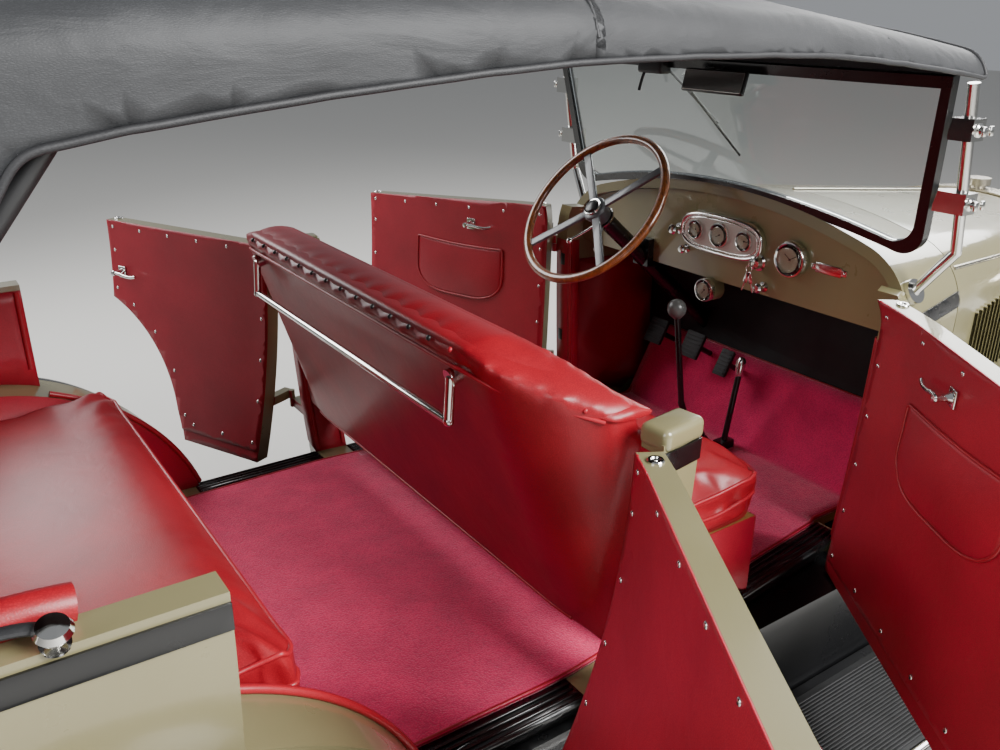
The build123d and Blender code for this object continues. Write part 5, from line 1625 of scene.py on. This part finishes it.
@dataclass
class SteeringWheel:
    """Varnished rim on a cast spider of four arms, with its hub and hand levers."""

    centre: Point = (659.0, 244.0, 1260.0)
    rake: float = 40.0
    rim_radius: float = 209.0
    rim_mm: float = 12.0

    def build(self) -> None:
        """Make the rim, the spider and the levers."""
        self.rim()
        self.spider()
        self.levers()

    def turned(self, bm: Shape) -> Shape:
        """Set a shape made flat about the origin, in metres, on the column's axis."""
        return set_down(bm, at(*self.centre), radians(self.rake - 90), "Y")

    def rim(self) -> None:
        """The wooden rim, a little flattened."""
        turns = [tau * k / 48 for k in range(48)]
        points = [Vector((self.rim_radius * cos(turn), self.rim_radius * sin(turn), 0)) / 1000 for turn in turns]
        bm = tube(points, self.rim_mm / 1000, closed=True, sides=7)
        bmesh.ops.scale(bm, vec=(1, 1, 0.9), verts=bm.verts)
        piece = finish_piece("steering_rim", self.turned(bm), RIM_WOOD, Body.WHEEL.value)
        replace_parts(piece, "steering_wheel")

    def spider(self) -> None:
        """Four tapering arms that widen at the rim, and a stepped hub with its button."""
        arms = bmesh.new()
        for k in range(4):
            arm = loose_block((26, -11, -12), (202, 11, -4), 2.5, 3)
            for vert in arm.verts:
                reach = max(0.0, vert.co.x * 1000 - 26) / 176
                vert.co.y *= 1.05 - 0.35 * reach + 0.4 * max(0.0, reach - 0.88) / 0.12
                vert.co.z += 0.006 * reach ** 2
            arm.transform(Matrix.Rotation(radians(45 + 90 * k), 4, "Z"))
            join(arms, arm)
        hub = spin_profile([(-0.042, 0.0), (-0.042, 0.026), (-0.02, 0.031), (-0.006, 0.034), (-0.001, 0.031),
                            (0.002, 0.024), (0.002, 0.0)], ORIGIN, UP, 40)
        finish_piece("steering_spider", self.turned(join(arms, hub)), SPIDER, Body.WHEEL.value)
        button = spin_profile([(0.0, 0.018), (0.005, 0.018), (0.009, 0.015), (0.011, 0.008), (0.0115, 0.0)],
                              Vector((0, 0, 0.002)), UP, 32)
        finish_piece("horn_button", self.turned(button), EBONITE, Body.WHEEL.value)
        ring = spin_profile([(-0.0005, 0.0185), (0.004, 0.0205), (0.0045, 0.0235), (-0.0005, 0.0245)],
                            Vector((0, 0, 0.002)), UP, 32)
        finish_piece("horn_button_ring", self.turned(ring), PLATE, Body.WHEEL.value)

    def levers(self) -> None:
        """Lamp switch and hand throttle: two small levers under the hub on a collar."""
        collar = spin_profile([(-0.052, 0.0235), (-0.052, 0.029), (-0.046, 0.031), (-0.045, 0.0235)],
                              ORIGIN, UP, 32)
        for turn in (150, 212):
            way = Vector((cos(radians(turn)), sin(radians(turn)), 0))
            line = [way * 0.024 + Vector((0, 0, -0.049)), way * 0.06 + Vector((0, 0, -0.046)),
                    way * 0.105 + Vector((0, 0, -0.034))]
            join(collar, tube(line, 0.0034))
            join(collar, dome(line[-1], UP, 0.0085, 0.007))
        finish_piece("column_levers", self.turned(collar), PLATE)


@dataclass
class Controls:
    """Knobs, boots and pedal rubbers on the plain levers and pedals."""

    gear_ball: Point = (768.0, 30.0, 1030.0)
    brake_top: Point = (965.0, -30.0, 855.0)
    gear_foot: Point = (860.0, 20.0, 621.0)

    def build(self) -> None:
        """Dress the levers and the pedals."""
        ball = spin_profile([(-0.026, 0.0), (-0.026, 0.01), (-0.021, 0.0145), (-0.014, 0.021), (-0.002, 0.0246),
                             (0.01, 0.0222), (0.019, 0.0155), (0.0235, 0.007), (0.0245, 0.0)],
                            at(*self.gear_ball), Vector((-0.17, 0, 1)).normalized(), 32)
        finish_piece("gear_ball", ball, GREY_KNOB)
        boot = spin_profile([(0.0, 0.062), (0.006, 0.06), (0.008, 0.05), (0.016, 0.052), (0.018, 0.041),
                             (0.028, 0.043), (0.03, 0.032), (0.042, 0.033), (0.044, 0.024), (0.058, 0.0235),
                             (0.062, 0.013)], at(*self.gear_foot), UP, 32)
        finish_piece("gear_boot", boot, EBONITE)
        tip = at(*self.brake_top)
        grip = spin_profile([(-0.03, 0.0088), (-0.02, 0.0105), (0.0, 0.0128), (0.012, 0.0118), (0.02, 0.006),
                             (0.021, 0.0)], tip, Vector((0.15, 0, 1)).normalized(), 24)
        join(grip, tube([tip + Vector((-0.012, 0, -0.03)), tip + Vector((-0.02, 0, 0.0)),
                         tip + Vector((-0.014, 0, 0.018))], 0.0028))
        finish_piece("brake_grip", grip, PLATE)
        self.pedal_rubbers()

    @staticmethod
    def pedal_rubbers() -> None:
        """Ribbed rubber covers on the pedals' pads."""
        slope = atan2(212, 115)
        for y, share, half in ((325, 0.86, 33), (178, 0.86, 33), (51, 0.80, 21)):
            foot = at(985 + 115 * share - 0.879 * 92, y, 613 + 212 * share + 0.477 * 92)
            pad = loose_block((-9, -half, -38), (-2, half, 38), 2.0, 2)
            for k in range(6):
                join(pad, loose_block((-11.5, 4 - half, -31 + 11 * k), (-8, half - 4, -26 + 11 * k), 1.0, 1))
            set_down(pad, foot, pi / 2 - slope, "Y")
            finish_piece(f"pedal_rubber_{y}", pad, MAT)


# Dash and windscreen


@dataclass
class Dash:
    """Instruments, keys and knobs on the dash panel."""

    face_x: float = 856.0
    cluster: Pair = (-21.0, 1217.0)
    clock: Pair = (-235.0, 1205.0)
    gauge: Pair = (6.0, 1074.0)
    name_plate: Pair = (-330.0, 1201.0)

    def build(self) -> None:
        """Make every instrument and knob."""
        self.cluster_frame()
        self.dial("clock", self.clock, 841.0, 42.0, 12, (305.0, 60.0))
        self.dial("gauge", self.gauge, 836.0, 30.0, 5, (215.0,))
        self.plate()
        self.switches()

    def oval(self, half_y: float, half_z: float, x: float, count: int = 64) -> list[Vector]:
        """A squared oval round the cluster's middle."""
        middle_y, middle_z = self.cluster
        points = []
        for k in range(count):
            turn = tau * k / count
            c, s = cos(turn), sin(turn)
            points.append(at(x, middle_y + half_y * copysign(abs(c) ** 0.62, c),
                             middle_z + half_z * copysign(abs(s) ** 0.72, s)))
        return points

    def cluster_frame(self) -> None:
        """A plated face with a beaded rim and three dials behind plated rings."""
        rims = tube(self.oval(127, 45, 842.5), 0.0046, closed=True)
        join(rims, tube(self.oval(116, 36.5, 842.2), 0.0018, closed=True))
        for spot in self.oval(121.5, 40.8, 841.8, 84):
            join(rims, dome(spot, REARWARD, 0.0021, 0.0018))
        face = set_down(loose_block((-1.2, -117, -37), (0.8, 117, 37), 0.6, 1), at(842.6, *self.cluster))
        finish_piece("cluster_rim", rims, PLATE)
        finish_piece("cluster_face", face, SILVER_DIAL)
        middle_y, middle_z = self.cluster
        for name, offset, radius, ticks, hands in (("fuel", 78.0, 25.0, 5, (140.0,)),
                                                   ("speed", 0.0, 31.0, 17, (240.0,)),
                                                   ("ammeter", -78.0, 25.0, 7, (90.0,))):
            self.dial(name, (middle_y + offset, middle_z + 2), 840.6, radius, ticks, hands)

    def dial(self, name: str, place: Pair, x: float, radius: float, ticks: int,
             hands: tuple[float, ...]) -> None:
        """A round dial: bezel, face, marks, hands and glass.

        Args:
            name: the instrument's name.
            place: y and z of its middle.
            x: where its face stands.
            radius: outer radius of the bezel, in millimetres.
            ticks: how many marks.
            hands: the hands' angles in degrees.
        """
        centre = at(x, *place)
        r = radius / 1000
        bezel = spin_profile([(-0.002, r * 0.8), (0.004, r * 0.82), (0.0065, r * 0.88), (0.006, r * 0.95),
                              (0.002, r), (-0.006, r)], centre, REARWARD, 48)
        finish_piece(f"{name}_bezel", bezel, PLATE)
        disc = spin_profile([(0.0006, r * 0.84), (0.0008, 0.0)], centre, REARWARD, 48)
        finish_piece(f"{name}_dial", disc, DIAL)
        marks = bmesh.new()
        for k in range(ticks):
            turn = tau * k / ticks if ticks == 12 else radians(-135 + 270 * k / max(1, ticks - 1))
            long = 3 if k % 3 == 0 else 1.8
            self.mark(marks, centre, turn, radius * 0.74 - long, radius * 0.74, 0.45)
        for number, angle in enumerate(hands):
            self.mark(marks, centre, radians(angle), -radius * 0.1, radius * (0.44 + 0.16 * number), 0.7)
        join(marks, spin_profile([(0.001, 0.0024), (0.0022, 0.002), (0.0024, 0.0)], centre, REARWARD, 12))
        finish_piece(f"{name}_marks", marks, EBONITE, sharp=20)
        glass = spin_profile([(0.0044, r * 0.83), (0.0058, r * 0.5), (0.0062, 0.0)], centre, REARWARD, 40)
        thicken(finish_piece(f"{name}_glass", glass, PANE), 0.8, outwards=False)

    @staticmethod
    def mark(bm: Shape, centre: Vector, turn: float, inner: float, outer: float, half: float) -> None:
        """A thin black mark that points away from a dial's middle."""
        join(bm, set_down(loose_block((-1.5, -half, inner), (-0.9, half, outer), 0.1, 1), centre, turn))

    def plate(self) -> None:
        """A blank plated plate held by two screws."""
        y, z = self.name_plate
        bm = loose_block((-2.4, -34, -11), (0.6, 34, 11), 1.0, 2)
        for way in (-1, 1):
            join(bm, loose_block((-2.0, way * 38 - 9, -7), (0.6, way * 38 + 9, 7), 1.0, 2))
            join(bm, dome(Vector((-0.0022, way * 0.041, 0)), REARWARD, 0.003, 0.0015))
        set_down(bm, at(self.face_x - 1, y, z))
        finish_piece("blank_plate", bm, PLATE)

    def switches(self) -> None:
        """The lamp switch with its keys, and pull knobs."""
        lock = at(self.face_x, -138, 1176)
        bm = spin_profile([(-0.001, 0.021), (0.004, 0.021), (0.007, 0.016), (0.02, 0.0145), (0.022, 0.011),
                           (0.0225, 0.0)], lock, REARWARD, 32)
        join(bm, set_down(loose_block((-16, -1, -7), (0, 1, 7), 0.8, 2), lock + Vector((-0.021, 0, 0))))
        hang = lock + Vector((-0.034, 0, -0.004))
        loop = [hang + Vector((0, sin(tau * k / 10) * 0.009, cos(tau * k / 10) * 0.009 - 0.008))
                for k in range(10)]
        join(bm, tube(loop, 0.0011, closed=True))
        for lean in (-0.35, 0.3):
            spare = loose_block((-1, -6, -30), (0.8, 6, -2), 0.8, 2)
            join(spare, loose_block((-0.8, -2, -52), (0.6, 2, -28), 0.5, 1))
            join(bm, set_down(spare, hang + Vector((0, 0, -0.014)), lean))
        finish_piece("lamp_switch", bm, PLATE)
        knobs = bmesh.new()
        for y, z, size in ((128.0, 1206.0, 1.0), (96.0, 1160.0, 0.8), (-160.0, 1120.0, 0.9)):
            profile = [(-0.001, 0.014), (0.002, 0.014), (0.004, 0.006), (0.018, 0.005), (0.021, 0.012),
                       (0.028, 0.0135), (0.033, 0.009), (0.034, 0.0)]
            sized = [(along * size, radius * size) for along, radius in profile]
            join(knobs, spin_profile(sized, at(self.face_x, y, z), REARWARD, 24))
        finish_piece("dash_knobs", knobs, PLATE)


@dataclass
class Windscreen:
    """Mirror, wiper and wing nuts."""

    header: Pair = (806.0, 1606.0)
    mirror_tilt: float = 0.25

    def build(self) -> None:
        """Fit the mirror, the wiper and the nuts."""
        self.mirror()
        self.wiper()
        self.wing_nuts()

    def mirror(self) -> None:
        """A black-backed mirror on a stalk from the header."""
        x, z = self.header
        stalk = tube([at(x - 2, -30, z + 4), at(x - 26, -30, z - 4), at(x - 38, -30, z - 18)], 0.005)
        middle = at(x - 44, -30, z - 26)
        shell = set_down(loose_block((-7, -92, -26), (5, 92, 26), 5.0, 4), middle, self.mirror_tilt, "Y")
        finish_piece("mirror_shell", join(shell, stalk), EBONITE)
        pane = loose_block((-8.2, -88, -22), (-6.6, 88, 22), 0.6, 1)
        finish_piece("mirror_pane", set_down(pane, middle, self.mirror_tilt, "Y"), PLATE)

    def wiper(self) -> None:
        """The wiper's motor on the header, its hand lever, and the arm and blade outside the glass."""
        x, z = self.header
        motor = set_down(loose_block((-34, -42, -17), (4, 42, 17), 7.0, 4), at(x - 2, 193, z - 4))
        lever = tube([at(x - 28, 213, z - 14), at(x - 36, 215, z - 34), at(x - 40, 218, z - 62)], 0.0036)
        finish_piece("wiper_motor", join(motor, lever), BLACK_SATIN)
        arm = tube([at(x + 6, 193, z - 6), at(x + 24, 193, z - 7)], 0.005, smooth=False)
        join(arm, tube([at(x + 24, 193, z - 7), at(x + 30, 110, z - 62), at(x + 34, 17, z - 124)], 0.0028))
        blade = tube([at(x + 18, 120, z - 40), at(x + 27, 17, z - 124), at(x + 34, -60, z - 190)], 0.0032)
        finish_piece("wiper_arm", join(arm, blade), BLACK_SATIN)

    @staticmethod
    def wing_nuts() -> None:
        """Plated wing nuts outside each post's clamps."""
        for side in Side:
            bm = bmesh.new()
            out = Vector((0, side.value, 0))
            for x, z in ((860.0, 1392.0), (837.0, 1530.0)):
                spot = at(x, side.value * 609, z)
                join(bm, spin_profile([(0.0, 0.013), (0.003, 0.013), (0.005, 0.009), (0.014, 0.007),
                                       (0.016, 0.0)], spot, out, 20))
                for way in (-1, 1):
                    ear = loose_block((-3, 4, -8), (3, 8, 8), 1.5, 2)
                    ear.transform(Matrix.Translation(spot + Vector((way * 0.012, side.value * 0.008, 0.0)))
                                  @ Matrix.Diagonal((1.9, 1.6 * side.value, 1.1, 1)))
                    if side is Side.RIGHT:
                        bmesh.ops.reverse_faces(ear, faces=ear.faces)
                    join(bm, ear)
            finish_piece(f"wing_nuts_{side.label}", bm, PLATE)


# Wheels


@dataclass
class RoadWheels:
    """Hub caps and tyre treads of the four road wheels."""

    block_count: int = 60
    tread_radius: float = 375.5
    tread_crown: float = 0.0016
    block_root: float = 6.0
    block_height: float = 3.6
    tread_rows: tuple[Pair, ...] = ((-34.0, 15.0), (-12.0, 17.0), (12.0, 17.0), (34.0, 15.0))

    def build(self) -> None:
        """Dress each wheel and its tyre."""
        for side in Side:
            for name, x in (("front", FRONT_AXLE_X), ("rear", REAR_AXLE_X)):
                body = f"wheel_{name}_{side.label}"
                low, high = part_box(f"tyre_{name}_{side.label}")
                self.hub_cap(body, x, side)
                self.tread(body, x, (low.y + high.y) * 500)

    def hub_cap(self, body: str, x: float, side: Side) -> None:
        """A plated, faceted cap over the hub's end."""
        low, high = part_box(body)
        face = high.y if side is Side.LEFT else low.y
        centre = Vector((at(x, 0, 0).x, face, AXLE_Z / 1000))
        cap = spin_profile([(-0.02, 0.034), (-0.003, 0.034), (0.002, 0.031), (0.005, 0.024), (0.0065, 0.012),
                            (0.007, 0.0)], centre, Vector((0, side.value, 0)), 12)
        finish_piece(f"{body}_hub_cap", cap, PLATE, body, sharp=20)

    def tread(self, body: str, x: float, middle_y: float) -> None:
        """Rows of low tread blocks around the tyre, alternate rows offset by half a block."""
        bm = bmesh.new()
        step = tau / self.block_count
        length = self.tread_radius * step * 0.68
        for row, (offset, width) in enumerate(self.tread_rows):
            base = self.tread_radius - self.tread_crown * offset * offset
            for k in range(self.block_count):
                block = rounded_block((-SHIFT_MM - length / 2, offset - width / 2, base - self.block_root),
                                      (-SHIFT_MM + length / 2, offset + width / 2, base + self.block_height),
                                      1.2, 1)
                join(bm, set_down(block, at(x, middle_y, AXLE_Z), step * (k + 0.5 * (row % 2)), "Y"))
        finish_piece(f"{body}_tread", bm, TYRE, body)


# Stage


@dataclass
class Studio:
    """Pale floor, soft lights and the camera at the photograph's viewing angle."""

    eye: Point = (-1.4475, -1.509, 1.726)
    heading: float = 55.2
    pitch: float = -22.0
    roll: float = 0.6
    lens_mm: float = 32.59
    sky_strength: float = 0.36
    lamps: tuple[tuple[str, Point, Point, float, float], ...] = (
        ("key", (1.2, -4.6, 4.2), (0.2, 0.0, 0.9), 3.0, 980),
        ("fill", (-4.6, -1.2, 3.0), (0.2, 0.0, 0.9), 3.0, 130),
        ("front", (5.2, 1.6, 4.0), (0.6, 0.0, 0.9), 3.4, 330),
        ("cabin", (-2.0, 3.6, 3.6), (0.0, 0.0, 0.8), 2.6, 190))

    def build(self) -> None:
        """Set the floor, the lights, the sky and the camera."""
        self.floor()
        for lamp in self.lamps:
            self.light(*lamp)
        self.sky()
        self.camera()

    @staticmethod
    def floor() -> None:
        """A large pale floor under the tyres."""
        bpy.ops.mesh.primitive_plane_add(size=60, location=(0, 0, 0))
        ground = bpy.context.object
        ground.name = "studio_floor"
        ground.data.materials.append(Finish("studio_floor", "#cfcdc8", 0.8).material())

    @staticmethod
    def light(name: str, spot: Point, target: Point, size: float, watts: float) -> None:
        """A square soft light turned to its target."""
        data = bpy.data.lights.new(name, "AREA")
        data.size = size
        data.energy = watts
        lamp = bpy.data.objects.new(name, data)
        bpy.context.scene.collection.objects.link(lamp)
        lamp.location = spot
        lamp.rotation_euler = (Vector(target) - Vector(spot)).to_track_quat("-Z", "Y").to_euler()

    def sky(self) -> None:
        """An even pale sky."""
        world = bpy.data.worlds.new("sky")
        world.use_nodes = True
        world.node_tree.nodes["Background"].inputs["Color"].default_value = linear("#e8ecf2")
        world.node_tree.nodes["Background"].inputs["Strength"].default_value = self.sky_strength
        bpy.context.scene.world = world

    def camera(self) -> None:
        """The camera, from its heading, pitch and roll."""
        turn, tip, bank = (radians(value) for value in (self.heading, self.pitch, self.roll))
        forward = Vector((cos(tip) * cos(turn), cos(tip) * sin(turn), sin(tip)))
        level = Vector((sin(turn), -cos(turn), 0))
        above = level.cross(forward)
        right = level * cos(bank) + above * sin(bank)
        up = above * cos(bank) - level * sin(bank)
        pose = Matrix((right, up, -forward)).transposed().to_4x4()
        pose.translation = Vector(self.eye)
        data = bpy.data.cameras.new("camera")
        data.lens = self.lens_mm
        data.sensor_width = 36.0
        data.clip_start = 0.02
        item = bpy.data.objects.new("camera", data)
        bpy.context.scene.collection.objects.link(item)
        item.matrix_world = pose
        bpy.context.scene.camera = item


def main() -> None:
    """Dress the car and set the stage."""
    logging.basicConfig(level=logging.INFO, format="%(message)s")
    Coachwork().build()
    for place in DOORS:
        DoorFittings(place).build()
    CabinTrim().build()
    Seats().build()
    ClothTop().build()
    SteeringWheel().build()
    Controls().build()
    Dash().build()
    Windscreen().build()
    RoadWheels().build()
    Studio().build()


if __name__ == "__main__":
    main()
